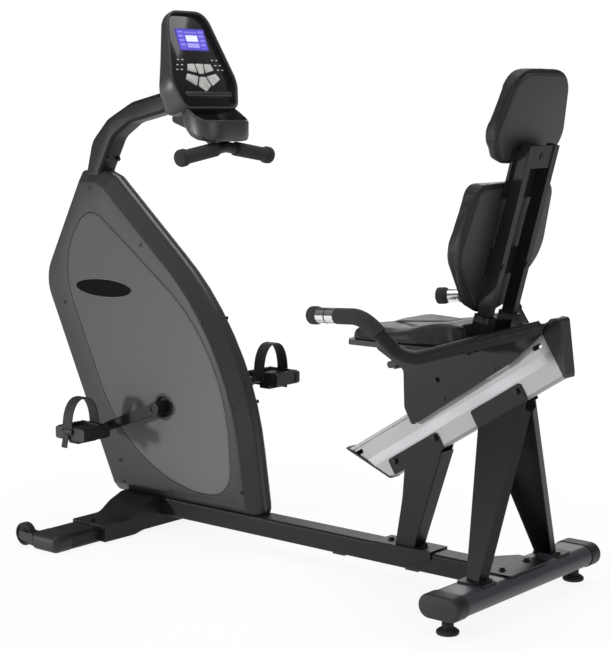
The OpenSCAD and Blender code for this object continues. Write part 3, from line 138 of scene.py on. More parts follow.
class Shader:
    """One material or world and the nodes that are added to it."""

    def __init__(self, name: str, world: bool = False) -> None:
        """Starts an empty node tree with its output.

        Args:
            name: the name of the material or world.
            world: whether it is a world.
        """
        self.owner = (bpy.data.worlds if world else bpy.data.materials).new(name)
        self.owner.use_nodes = True
        self.tree = self.owner.node_tree
        self.tree.nodes.clear()
        self.output = self.node("ShaderNodeOutputWorld" if world else "ShaderNodeOutputMaterial")

    def node(self, kind: str, settings: Optional[dict] = None,
             values: Optional[dict] = None) -> bpy.types.Node:
        """Adds a node.

        Args:
            kind: the node's type.
            settings: its properties; "stops" are the stops of a colour ramp.
            values: numbers, colours or links for its sockets, by name or place.

        Returns:
            The new node.
        """
        made = self.tree.nodes.new(kind)
        for key, value in (settings or {}).items():
            if key == "stops":
                ramp = made.color_ramp.elements
                while len(ramp) < len(value):
                    ramp.new(0.5)
                for stop, (place, colour) in zip(ramp, value):
                    stop.position = place
                    stop.color = (*colour, 1.0)
            else:
                setattr(made, key, value)
        for key, value in (values or {}).items():
            self.feed(made.inputs[key], value)
        return made

    def feed(self, socket: bpy.types.NodeSocket, value: object) -> None:
        """Links a socket to a term or a socket, or sets its number or colour.

        Args:
            socket: the socket to fill.
            value: a term, a socket, a colour or a number.
        """
        if isinstance(value, Term):
            self.tree.links.new(value.socket, socket)
        elif isinstance(value, bpy.types.NodeSocket):
            self.tree.links.new(value, socket)
        elif isinstance(value, tuple) and len(value) == 3 and socket.type == "RGBA":
            socket.default_value = (*value, 1.0)
        else:
            socket.default_value = value

    def math(self, operation: str, *terms: Number) -> Term:
        """One Math node over its terms."""
        made = self.node("ShaderNodeMath", {"operation": operation}, dict(enumerate(terms)))
        return Term(self, made.outputs[0])

    def coords(self, scale: Point = (1, 1, 1), turn: Point = (0, 0, 0)) -> bpy.types.NodeSocket:
        """Object coordinates in metres, scaled and turned.

        Args:
            scale: factors along the three axes.
            turn: angles about them.

        Returns:
            The place's socket.
        """
        start = self.node("ShaderNodeTexCoord").outputs["Object"]
        made = self.node("ShaderNodeMapping", {"vector_type": "TEXTURE"},
                         {"Vector": start, "Rotation": turn})
        scaled = self.node("ShaderNodeVectorMath", {"operation": "MULTIPLY"},
                           {0: made.outputs[0], 1: scale})
        return scaled.outputs[0]

    def axes(self, vector: bpy.types.NodeSocket) -> Tuple[Term, Term, Term]:
        """The three parts of a vector."""
        made = self.node("ShaderNodeSeparateXYZ", values={0: vector})
        return tuple(Term(self, s) for s in made.outputs)

    def noise(self, vector: bpy.types.NodeSocket, scale: float, detail: float = 2.0,
              rough: float = 0.5) -> Term:
        """Soft noise from 0 to 1.

        Args:
            vector: where it is read.
            scale: how fine it is.
            detail: how many finer layers it has.
            rough: how strong they are.

        Returns:
            The noise.
        """
        made = self.node("ShaderNodeTexNoise", values={
            "Vector": vector, "Scale": scale, "Detail": detail, "Roughness": rough})
        return Term(self, made.outputs[0])

    def cells(self, vector: bpy.types.NodeSocket, scale: float) -> Term:
        """The distance inside Voronoi cells.

        Args:
            vector: where they are read.
            scale: how fine they are.

        Returns:
            The distance to the cell's point.
        """
        made = self.node("ShaderNodeTexVoronoi", {"feature": "F1"},
                         {"Vector": vector, "Scale": scale})
        return Term(self, made.outputs["Distance"])

    def mix(self, factor: Number, first: object, second: object) -> bpy.types.NodeSocket:
        """A colour between two colours.

        Args:
            factor: the share of the second colour.
            first: a colour or its socket.
            second: the other one.

        Returns:
            The mixed colour's socket.
        """
        made = self.node("ShaderNodeMix", {"data_type": "RGBA"},
                         {"Factor": factor, 6: first, 7: second})
        return made.outputs[2]

    def bump(self, height: Term, depth: float) -> bpy.types.NodeSocket:
        """A normal from a height between 0 and 1, depth millimetres deep.

        Args:
            height: the height.
            depth: what a height of 1 means, in millimetres.

        Returns:
            The normal's socket.
        """
        made = self.node("ShaderNodeBump", values={
            "Height": height, "Distance": depth * MM, "Strength": 1.0})
        return made.outputs[0]

    def surface(self, **values: object) -> bpy.types.Material:
        """Ends the material in a Principled shader with these sockets, and returns it.

        Args:
            values: numbers, colours or links, named like the sockets.

        Returns:
            The material.
        """
        named = {key.replace("_", " ").title().replace("Ior", "IOR"): v
                 for key, v in values.items()}
        return self.ended(self.node("ShaderNodeBsdfPrincipled", values=named))

    def ended(self, last: bpy.types.Node) -> bpy.types.ID:
        """Links the last node to the output and returns the material or world."""
        self.tree.links.new(last.outputs[0], self.output.inputs[0])
        return self.owner


def shade(colour: Colour, factor: float) -> Colour:
    """The colour made lighter or darker."""
    return tuple(min(1.0, c * factor) for c in colour)


@dataclass(frozen=True)
class Finish:
    """What every finish has."""

    name: str
    slot: str
    colour: Colour

    def material(self) -> bpy.types.Material:
        """The finish as a material, made once."""
        return bpy.data.materials.get(self.name) or self.make(Shader(self.name))

    def make(self, s: Shader) -> bpy.types.Material:
        """Builds the material."""
        raise NotImplementedError


@dataclass(frozen=True)
class PowderCoat(Finish):
    """Satin powder coat on steel, with its fine orange peel."""

    roughness: float = 0.42
    peel: float = 0.05
    shine: float = 0.22

    def make(self, s: Shader) -> bpy.types.Material:
        """Builds the material.

        Args:
            s: the shader that its nodes go to.

        Returns:
            The material.
        """
        place = s.coords()
        peel = s.noise(place, 420, 2.0)
        dust = s.noise(place, 2600, 1.0)
        patch = s.noise(place, 9, 3.0)
        colour = s.mix(patch * 0.6 + dust * 0.4, shade(self.colour, 0.88), shade(self.colour, 1.13))
        return s.surface(base_color=colour, specular_ior_level=self.shine,
                         roughness=self.roughness + patch * 0.1 - dust * 0.04,
                         normal=s.bump(peel * 0.8 + dust * 0.2, self.peel))


@dataclass(frozen=True)
class GrainedPlastic(Finish):
    """Moulded plastic with a spark-eroded grain."""

    roughness: float = 0.48
    grain: float = 0.05
    scale: float = 1500
    shine: float = 0.5

    def make(self, s: Shader) -> bpy.types.Material:
        """Builds the material.

        Args:
            s: the shader that its nodes go to.

        Returns:
            The material.
        """
        place = s.coords()
        grain = s.cells(place, self.scale) * 0.6 + s.noise(place, self.scale * 0.7, 2.0) * 0.4
        patch = s.noise(place, 7, 3.0)
        colour = s.mix(patch, shade(self.colour, 0.9), shade(self.colour, 1.1))
        return s.surface(base_color=colour, roughness=self.roughness + grain * 0.12 - patch * 0.05,
                         specular_ior_level=self.shine, normal=s.bump(grain, self.grain))


@dataclass(frozen=True)
class SilverPaint(Finish):
    """Smooth metallic paint over plastic, made a little lighter towards the foot by painted light.
    """

    # the lighter end of the painted light gradient
    painted_light_tone: Colour = (0.15, 0.15, 0.152)

    def make(self, s: Shader) -> bpy.types.Material:
        """Builds the material.

        Args:
            s: the shader that its nodes go to.

        Returns:
            The material.
        """
        place = s.coords()
        x, _, z = s.axes(place)
        # painted light: a broad gradient lightens the colour towards the rear and the foot,
        # standing in for how light falls on the panel
        painted_light_sweep = (x * 0.9 - z * 0.75 + s.noise(place, 2.2, 1.0) * 0.12).ease(-1.0, 0.05)
        flake = s.cells(place, 1900)
        peel = s.noise(place, 190, 2.0)
        base = s.mix(painted_light_sweep, self.colour, self.painted_light_tone)
        colour = s.mix(flake * 0.2, base, (0.3, 0.3, 0.31))
        return s.surface(base_color=colour, metallic=0.15, roughness=0.58 + flake * 0.12,
                         specular_ior_level=0.3, normal=s.bump(peel, 0.02))


@dataclass(frozen=True)
class Vinyl(Finish):
    """Embossed vinyl with a leather grain and soft wrinkles, and painted shade in the wrinkles'
    hollows.
    """

    grain: float = 0.16

    def make(self, s: Shader) -> bpy.types.Material:
        """Builds the material.

        Args:
            s: the shader that its nodes go to.

        Returns:
            The material.
        """
        place = s.coords()
        warp = s.node("ShaderNodeTexNoise", values={"Vector": place, "Scale": 60.0, "Detail": 2.0})
        moved = s.node("ShaderNodeVectorMath", {"operation": "MULTIPLY_ADD"},
                       {0: warp.outputs[1], 1: (0.006, 0.006, 0.006), 2: place}).outputs[0]
        leather = s.cells(moved, 620)
        fine = s.cells(moved, 1500)
        wrinkle_and_crease_shade = s.noise(place, 34, 4.0, 0.6)
        height = leather.ease(0.0, 0.75) * 0.55 + fine * 0.2 + wrinkle_and_crease_shade * 0.9
        tone = s.mix(leather.ease(0.15, 0.7), shade(self.colour, 0.8), shade(self.colour, 1.18))
        # painted shade: the colour darkens where the wrinkles sink in
        colour = s.mix(wrinkle_and_crease_shade, shade(self.colour, 0.86), tone)
        return s.surface(base_color=colour, roughness=0.56 - leather * 0.16 + wrinkle_and_crease_shade * 0.1,
                         sheen_weight=0.03, specular_ior_level=0.34,
                         normal=s.bump(height, self.grain))


@dataclass(frozen=True)
class Foam(Finish):
    """Closed-cell foam with open pores in its skin."""

    def make(self, s: Shader) -> bpy.types.Material:
        """Builds the material.

        Args:
            s: the shader that its nodes go to.

        Returns:
            The material.
        """
        place = s.coords()
        pores = s.cells(place, 900).ease(0.02, 0.4)
        lumps = s.noise(place, 240, 3.0, 0.6)
        colour = s.mix(pores * 0.7 + lumps * 0.3, shade(self.colour, 0.6), shade(self.colour, 1.25))
        return s.surface(base_color=colour, roughness=0.88,
                         normal=s.bump(pores * 0.5 + lumps * 0.9, 0.28))


@dataclass(frozen=True)
class BrushedMetal(Finish):
    """Metal with fine lines along one direction."""

    turn: Point = (0, 0, 0)
    roughness: float = 0.32
    metallic: float = 1.0
    lines: float = 1400
    depth: float = 0.02
    contrast: float = 0.1

    def make(self, s: Shader) -> bpy.types.Material:
        """Builds the material.

        Args:
            s: the shader that its nodes go to.

        Returns:
            The material.
        """
        place = s.coords(turn=self.turn)
        lines = s.noise(s.coords((0.012, 1, 1), self.turn), self.lines, 3.0, 0.7)
        cloud = s.noise(place, 11, 3.0)
        colour = s.mix(lines * 0.7 + cloud * 0.3, shade(self.colour, 1 - self.contrast),
                       shade(self.colour, 1 + self.contrast * 0.6))
        return s.surface(base_color=colour, metallic=self.metallic,
                         roughness=self.roughness + lines * 0.16 - cloud * 0.08,
                         normal=s.bump(lines, self.depth))


@dataclass(frozen=True)
class Casting(Finish):
    """Painted or bare cast metal with a sandy skin."""

    metallic: float = 0.6
    roughness: float = 0.5

    def make(self, s: Shader) -> bpy.types.Material:
        """Builds the material.

        Args:
            s: the shader that its nodes go to.

        Returns:
            The material.
        """
        place = s.coords()
        sand = s.noise(place, 700, 4.0, 0.7)
        patch = s.noise(place, 16, 3.0)
        colour = s.mix(sand * 0.5 + patch * 0.5, shade(self.colour, 0.75), shade(self.colour, 1.2))
        return s.surface(base_color=colour, metallic=self.metallic,
                         roughness=self.roughness + sand * 0.2, normal=s.bump(sand, 0.12))


@dataclass(frozen=True)
class Rubber(Finish):
    """Matt rubber with a dusty bloom."""

    roughness: float = 0.72

    def make(self, s: Shader) -> bpy.types.Material:
        """Builds the material.

        Args:
            s: the shader that its nodes go to.

        Returns:
            The material.
        """
        place = s.coords()
        bloom = s.noise(place, 45, 4.0, 0.65)
        grain = s.noise(place, 1400, 2.0)
        colour = s.mix(bloom.ease(0.35, 0.75), self.colour, shade(self.colour, 1.5))
        return s.surface(base_color=colour, roughness=self.roughness + bloom * 0.15,
                         normal=s.bump(grain, 0.06))


@dataclass(frozen=True)
class Webbing(Finish):
    """Moulded strap rubber with rows of small diamonds, laid out on the strap's own map."""

    def make(self, s: Shader) -> bpy.types.Material:
        """Builds the material.

        Args:
            s: the shader that its nodes go to.

        Returns:
            The material.
        """
        u, v, _ = s.axes(s.node("ShaderNodeUVMap", {"uv_map": "strap"}).outputs[0])
        row = ((u + v) * 36.0).wave() * ((u - v) * 36.0).wave()
        rib = row.ease(-0.4, 0.6)
        bloom = s.noise(s.coords(), 60, 3.0)
        colour = s.mix(rib * 0.7 + bloom * 0.3, shade(self.colour, 0.7), shade(self.colour, 1.3))
        return s.surface(base_color=colour, roughness=0.6 + bloom * 0.15, normal=s.bump(rib, 0.5))


@dataclass(frozen=True)
class Gloss(Finish):
    """Polished black plastic with faint wiping marks."""

    roughness: float = 0.1

    def make(self, s: Shader) -> bpy.types.Material:
        """Builds the material.

        Args:
            s: the shader that its nodes go to.

        Returns:
            The material.
        """
        place = s.coords()
        marks = s.noise(s.coords((1.0, 0.25, 1.0)), 90, 4.0, 0.6)
        cloud = s.noise(place, 14, 2.0)
        colour = s.mix(cloud, shade(self.colour, 0.85), shade(self.colour, 1.15))
        return s.surface(base_color=colour, roughness=self.roughness + marks * 0.08,
                         coat_weight=0.3, coat_roughness=0.05, normal=s.bump(marks, 0.004))


@dataclass(frozen=True)
class Display(Finish):
    """A lit liquid crystal display with blank fields, laid out on the window's own map."""

    def make(self, s: Shader) -> bpy.types.Material:
        """Builds the material.

        Args:
            s: the shader that its nodes go to.

        Returns:
            The material.
        """
        u, v, _ = s.axes(s.node("ShaderNodeUVMap", {"uv_map": "window"}).outputs[0])
        edge = u.within(0.03, 0.97, 0.03) * v.within(0.04, 0.96, 0.04)
        cloud = s.noise(s.coords(), 40, 2.0)
        back = s.mix(edge * (0.6 + cloud * 0.4), (0.06, 0.04, 0.30), self.colour)
        main = u.within(0.31, 0.71, 0.008) * v.within(0.42, 0.70, 0.012)
        second = u.within(0.31, 0.71, 0.008) * v.within(0.14, 0.34, 0.012)
        columns = u.within(0.07, 0.24, 0.006).most(u.within(0.77, 0.94, 0.006))
        rows = (v * 5.0 + 0.1).part().within(0.18, 0.7, 0.04) * v.within(0.1, 0.9, 0.01)
        bars = (u * 24.0).part().within(0.15, 0.75, 0.08)
        top = v.within(0.79, 0.87, 0.012) * u.within(0.3, 0.72, 0.01) * bars
        small = (columns * rows * (0.45 + bars * 0.55)).most(top)
        lit = s.mix(small * 0.55, back, (0.42, 0.42, 0.95))
        lit = s.mix(second * 0.6, lit, (0.50, 0.50, 0.98))
        lit = s.mix(main, lit, (0.72, 0.76, 1.0))
        return s.surface(base_color=lit, emission_color=lit, emission_strength=0.55,
                         roughness=0.12, coat_weight=0.5)


@dataclass(frozen=True)
class Board(Finish):
    """Circuit board with copper runs under its mask."""

    def make(self, s: Shader) -> bpy.types.Material:
        """Builds the material.

        Args:
            s: the shader that its nodes go to.

        Returns:
            The material.
        """
        place = s.coords()
        _, y, z = s.axes(place)
        runs = ((y * 900.0).wave() * (z * 520.0).wave()).ease(0.1, 0.5)
        cloud = s.noise(place, 120, 2.0)
        colour = s.mix(runs * 0.6, shade(self.colour, 0.8), shade(self.colour, 1.7))
        return s.surface(base_color=colour, roughness=0.35 + cloud * 0.15,
                         normal=s.bump(runs, 0.05))


FRAME_TONE = (0.0112, 0.0108, 0.0142)
RAIL_TURN = (0.0, math.radians(-32), 0.0)


class Finishes(Enum):
    """The finishes of the bike."""

    FRAME = PowderCoat("satin_dark_coat", "frame_paint", FRAME_TONE)
    STABILISER = PowderCoat("satin_grey_coat", "tube_grey", (0.05, 0.048, 0.058), 0.4, shine=0.45)
    BLACK = GrainedPlastic("grained_black_plastic", "black_plastic", (0.0095, 0.0095, 0.0108), 0.5)
    SHROUD = GrainedPlastic("shroud_plastic_finish", "shroud_plastic", (0.024, 0.0235, 0.027), 0.46,
                            0.035, shine=0.42)
    PANEL = SilverPaint("silver_panel_paint", "panel_plastic", (0.064, 0.064, 0.0655))
    BADGE = GrainedPlastic("badge_satin", "badge_plastic", (0.0035, 0.0028, 0.0028), 0.5, 0.01,
                           shine=0.04)
    BADGE_RIM = BrushedMetal("badge_rim_metal", "panel_plastic", (0.16, 0.16, 0.165),
                             roughness=0.55)
    RAIL = BrushedMetal("anodised_rail", "rail_aluminium", (0.38, 0.38, 0.393), RAIL_TURN, 0.46,
                        0.5, 900)
    BLACK_STEEL = Casting("black_oxide", "black_steel", (0.02, 0.02, 0.022), 0.7, 0.36)
    STEEL = BrushedMetal("turned_steel", "bright_steel", (0.6, 0.6, 0.62), (0, 0, math.pi / 2),
                         0.28)
    IRON = Casting("iron_casting", "cast_iron", (0.11, 0.11, 0.115), 0.5, 0.45)
    BELT = Rubber("belt_rubber_finish", "belt_rubber", (0.012, 0.012, 0.013))
    DIE_CAST = Casting("die_cast_metal", "arm_aluminium", (0.4, 0.4, 0.42), 0.9, 0.35)
    MOTOR = GrainedPlastic("motor_case", "motor_plastic", (0.04, 0.06, 0.065), 0.5)
    CONSOLE = GrainedPlastic("console_shell_finish", "console_plastic", (0.034, 0.0335, 0.039),
                             0.36, 0.02)
    FACE = Gloss("console_gloss", "face_plastic", (0.006, 0.006, 0.007), 0.09)
    LEDGE = Gloss("ledge_gloss", "face_plastic", (0.03, 0.03, 0.033), 0.25)
    MARK = GrainedPlastic("printed_white", "key_rubber", (0.72, 0.72, 0.7), 0.5, 0.01)
    DISPLAY = Display("lit_display", "lcd_glass", (0.115, 0.085, 0.62))
    BOARD = Board("circuit_board", "board_green", (0.015, 0.09, 0.04))
    KEY = Rubber("key_rubber_finish", "key_rubber", (0.56, 0.56, 0.54), 0.5)
    FOAM = Foam("grip_foam", "foam", (0.021, 0.021, 0.023))
    CHROME = BrushedMetal("sensor_chrome", "chrome", (0.82, 0.82, 0.84), (0, 0, 1.2), 0.1, 1.0, 500,
                          0.004, 0.04)
    ACETAL = GrainedPlastic("slider_acetal", "slider_plastic", (0.72, 0.7, 0.66), 0.4, 0.02)
    VINYL = Vinyl("pad_vinyl", "vinyl", (0.0085, 0.0085, 0.0092))
    BACK = GrainedPlastic("back_shell_plastic", "back_plastic", (0.018, 0.018, 0.0205), 0.5, 0.06,
                          1100)
    FOOT = Rubber("foot_rubber_finish", "foot_rubber", (0.013, 0.013, 0.014))
    STRAP = Webbing("strap_rubber", "belt_rubber", (0.02, 0.02, 0.022))

    @property
    def material(self) -> bpy.types.Material:
        """The finish as a material."""
        return self.value.material()


# ---------------------------------------------------------------- mesh work


@dataclass(frozen=True)
class Plane:
    """A drawing plane in the maker's layout. Local z points out of it."""

    origin: Point
    right: Point
    up: Point

    def matrix(self) -> Matrix:
        """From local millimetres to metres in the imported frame.

        Returns:
            The matrix.
        """
        right, up = Vector(self.right).normalized(), Vector(self.up).normalized()
        out = right.cross(up)
        place = at(*self.origin)
        return Matrix([[right[i] * MM, up[i] * MM, out[i] * MM, place[i]] for i in range(3)]
                      + [[0, 0, 0, 1]])


# how far the console's face and the backrest lean back, and the crank's axis seen from the side
TILT = math.radians(20.5)
LEAN = math.radians(15)
CRANK = (-960.5, 310.2)
SIDE = Plane((0, 0, 0), (1, 0, 0), (0, 0, 1))
TOP = Plane((0, 0, 0), (1, 0, 0), (0, 1, 0))
FACE = Plane((-904, 0, 1176.4), (0, 1, 0), (-math.sin(TILT), 0, math.cos(TILT)))
BACKREST = Plane((-56, 0, 586), (0, 1, 0), (math.sin(LEAN), 0, math.cos(LEAN)))


def moved_in(corners: Sequence[Corner], inset: float) -> List[Corner]:
    """The corners of an outline moved inwards on every edge, for one drawn anticlockwise.

    Args:
        corners: x, y and radius of each corner.
        inset: how far, in millimetres.

    Returns:
        The new corners.
    """
    count = len(corners)
    flat = [Vector(c[:2]) for c in corners]
    result = []
    for i, (_, _, radius) in enumerate(corners):
        before, here, after = flat[i - 1], flat[i], flat[(i + 1) % count]
        first, second = (here - before).normalized(), (after - here).normalized()
        n1, n2 = Vector((-first.y, first.x)), Vector((-second.y, second.x))
        bisector = (n1 + n2) / (1 + n1.dot(n2))
        spot = here + bisector * inset
        result.append((spot.x, spot.y, max(1.0, radius - inset)))
    return result


def mirrored(corners: Sequence[Corner]) -> List[Corner]:
    """Corners of a right half from bottom to top, with their mirror images after them."""
    return list(corners) + [(-x, y, r) for x, y, r in reversed(corners)]


def side_name(right: bool) -> str:
    """The rider's side in a piece's name."""
    return "right" if right else "left"


class Form:
    """A mesh that is shaped step by step in millimetres on one plane."""

    def __init__(self, plane: Plane) -> None:
        """Starts an empty mesh on a plane."""
        self.plane = plane
        self.bm = bmesh.new()

    def plate(self, corners: Sequence[Corner], height: float = 0.0,
              steps: int = 8) -> bmesh.types.BMFace:
        """Draws a flat face with rounded corners.

        Args:
            corners: x, y and radius of each corner, anticlockwise.
            height: distance above the plane.
            steps: edges in each rounded corner.

        Returns:
            The face.
        """
        known = set(self.bm.faces)
        verts = [self.bm.verts.new((x, y, height)) for x, y, _ in corners]
        self.bm.faces.new(verts)
        for i, (x, y, radius) in enumerate(corners):
            if radius <= 0:
                continue
            here = Vector((x, y))
            before = (Vector(corners[i - 1][:2]) - here).normalized()
            after = (Vector(corners[(i + 1) % len(corners)][:2]) - here).normalized()
            half = before.angle(after) / 2
            reach = radius / math.tan(half)
            bulge = math.sin(half) / (1 + math.sin(half))
            bmesh.ops.bevel(self.bm, geom=[verts[i]], offset=reach, offset_type="ABSOLUTE",
                            segments=steps, profile=((1 + bulge) / 2) ** 2, affect="VERTICES",
                            material=-1, clamp_overlap=False)
        return next(f for f in self.bm.faces if f not in known)

    def stack(self, corners: Sequence[Corner], levels: Sequence[Spot], steps: int = ROUNDS) -> None:
        """Joins copies of an outline into a wall that is open at both ends.

        Args:
            corners: the outline.
            levels: for each copy, how far it is moved in and its height.
            steps: edges in each rounded corner.
        """
        last: List[bmesh.types.BMEdge] = []
        for inset, height in levels:
            face = self.plate(moved_in(corners, inset), height, steps)
            here = list(face.edges)
            self.drop([face])
            if last:
                bmesh.ops.bridge_loops(self.bm, edges=last + here)
            last = here

    def closed_stack(self, corners: Sequence[Corner], levels: Sequence[Spot],
                     steps: int = ROUNDS) -> None:
        """Stacks copies of an outline and closes both ends.

        Args:
            corners: the outline.
            levels: for each copy, how far it is moved in and its height.
            steps: edges in each rounded corner.
        """
        self.stack(corners, levels, steps)
        for inset, height in (levels[0], levels[-1]):
            self.plate(moved_in(corners, inset), height, steps)

    def raised(self, face: bmesh.types.BMFace, height: float) -> bmesh.types.BMFace:
        """Extrudes a face by a height and returns the far face.

        Args:
            face: the face.
            height: how far it goes along local z.

        Returns:
            The far face.
        """
        made = bmesh.ops.extrude_face_region(self.bm, geom=[face])["geom"]
        far = next(g for g in made if isinstance(g, bmesh.types.BMFace))
        bmesh.ops.translate(self.bm, vec=(0, 0, height), verts=far.verts)
        return far

    def slab(self, corners: Sequence[Corner], levels: Spot, steps: int = 8, rounding: float = 0.0,
             rounds: int = 3) -> None:
        """Raises an outline from one level to another.

        Args:
            corners: the outline.
            levels: the height of its foot and of its far face.
            steps: edges in each rounded corner.
            rounding: how much the far face's edge is rounded.
            rounds: steps of that rounding.
        """
        low, high = levels
        far = self.raised(self.plate(corners, low, steps), high - low)
        if rounding:
            self.soften(far.edges, rounding, rounds)

    def soften(self, edges: Iterable[bmesh.types.BMEdge], width: float, steps: int = 3) -> None:
        """Rounds edges.

        Args:
            edges: the edges.
            width: how wide the rounding is.
            steps: its segments.
        """
        bmesh.ops.bevel(self.bm, geom=list(edges), offset=width, offset_type="OFFSET",
                        segments=steps, profile=0.5, affect="EDGES", material=-1,
                        clamp_overlap=False)

    def ring(self, height: float) -> List[bmesh.types.BMEdge]:
        """The edges that lie at a height."""
        return [e for e in self.bm.edges if all(abs(v.co.z - height) < FLAT for v in e.verts)]

    def open_ring(self, height: float) -> List[bmesh.types.BMEdge]:
        """The edges at a height that have fewer than two faces."""
        return [e for e in self.ring(height) if len(e.link_faces) < 2]

    def drop(self, faces: Iterable[bmesh.types.BMFace]) -> None:
        """Takes faces away and keeps their edges."""
        bmesh.ops.delete(self.bm, geom=list(faces), context="FACES_ONLY")

    def circle(self, x: float, y: float, height: float, radius: float, steps: int = 48) -> None:
        """Adds a circle of edges."""
        bmesh.ops.create_circle(self.bm, cap_ends=False, segments=steps, radius=radius,
                                matrix=Matrix.Translation((x, y, height)))

    def fill(self, edges: Iterable[bmesh.types.BMEdge]) -> None:
        """Fills between flat loops."""
        bmesh.ops.triangle_fill(self.bm, use_beauty=True, use_dissolve=False, edges=list(edges),
                                normal=(0, 0, 1))

    def turn_in(self, edges: Iterable[bmesh.types.BMEdge], height: float) -> None:
        """Extrudes loose edges by a height.

        Args:
            edges: the edges.
            height: how far they go along local z.
        """
        made = bmesh.ops.extrude_edge_only(self.bm, edges=list(edges))["geom"]
        verts = [g for g in made if isinstance(g, bmesh.types.BMVert)]
        bmesh.ops.translate(self.bm, vec=(0, 0, height), verts=verts)

    def lathe(self, profile: Sequence[Spot], centre: Point, axis: Point,
              side: Point, steps: int = 48) -> None:
        """Spins a profile of (radius, distance along the axis) into a closed body of turning.

        Args:
            profile: radius and distance along the axis of each point.
            centre: a point on the axis.
            axis: its direction.
            side: where the radii are laid off.
            steps: steps in the full turn.
        """
        axis_v, side_v = Vector(axis).normalized(), Vector(side).normalized()
        points = [Vector(centre) + side_v * r + axis_v * d for r, d in profile]
        verts = [self.bm.verts.new(p) for p in points]
        edges = [self.bm.edges.new((a, b)) for a, b in zip(verts, verts[1:] + verts[:1])]
        bmesh.ops.spin(self.bm, geom=verts + edges, cent=centre, axis=axis_v,
                       angle=math.tau, steps=steps, use_merge=True)

    def block(self, place: Point, size: Point, bevel: float) -> None:
        """Adds a small block with rounded edges.

        Args:
            place: its middle.
            size: its three lengths.
            bevel: how wide its rounding is.
        """
        matrix = Matrix.Translation(place) @ Matrix.Diagonal((*size, 1))
        made = bmesh.ops.create_cube(self.bm, size=1.0, matrix=matrix)["verts"]
        edges = {e for v in made for e in v.link_edges}
        self.soften(edges, bevel, 2)

    def piece(self, name: str, finish: Finishes, body: str, stands_for: Sequence[str] = (),
              flip_side: bool = False, wall: float = 0.0) -> bpy.types.Object:
        """Turns the mesh into a piece that rides on a body.

        Args:
            name: the piece's name.
            finish: its finish.
            body: the body that it rides on.
            stands_for: CAD nodes that it replaces.
            flip_side: whether it is mirrored to the rider's right.
            wall: thickness of a sheet, in millimetres.

        Returns:
            The finished object.
        """
        bm = self.bm
        bm.transform(self.plane.matrix())
        if flip_side:
            bmesh.ops.scale(bm, vec=(1, -1, 1), verts=bm.verts)
        bmesh.ops.remove_doubles(bm, verts=bm.verts, dist=MERGED)
        bmesh.ops.recalc_face_normals(bm, faces=bm.faces)
        made = finished(bm, name, finish, body, stands_for)
        if wall:
            solid = made.modifiers.new("wall", "SOLIDIFY")
            solid.thickness = wall * MM
            solid.offset = -1.0
            solid.use_even_offset = True
        return made


def finished(bm: bmesh.types.BMesh, name: str, finish: Finishes, body: str,
             stands_for: Sequence[str] = ()) -> bpy.types.Object:
    """Makes an object from a mesh in metres, shades it and lets it ride on a body.

    Args:
        bm: the mesh, which is used up.
        name: the object's name.
        finish: its finish.
        body: the body that it rides on.
        stands_for: CAD nodes that it replaces.

    Returns:
        The object.
    """
    for face in bm.faces:
        face.smooth = True
    for edge in bm.edges:
        if len(edge.link_faces) == 2:
            edge.smooth = edge.calc_face_angle(0.0) < SHARP
    mesh = bpy.data.meshes.new(name)
    bm.to_mesh(mesh)
    bm.free()
    made = bpy.data.objects.new(name, mesh)
    bpy.context.scene.collection.objects.link(made)
    mesh.materials.append(finish.material)
    register(made, body, stands_for)
    return made


def register(made: bpy.types.Object, body: str,
             stands_for: Sequence[str]) -> None:
    """Says what a piece rides on and stands for.

    Args:
        made: the object.
        body: the body that it rides on.
        stands_for: CAD nodes that it replaces.
    """
    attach(made, body)
    if stands_for:
        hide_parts(*stands_for)
    LOG.info("%s: %d faces on %s", made.name, len(made.data.polygons), body)


def along(line: Sequence[Spot], x: float) -> float:
    """The height of a broken line at x.

    Args:
        line: points of the line, from low x to high x.
        x: where it is read.

    Returns:
        The height there.
    """
    for (x0, z0), (x1, z1) in zip(line, line[1:]):
        if x <= x1:
            return z0 + (z1 - z0) * max(0.0, (x - x0) / (x1 - x0))
    return line[-1][1]


# ---------------------------------------------------------------- drive cover


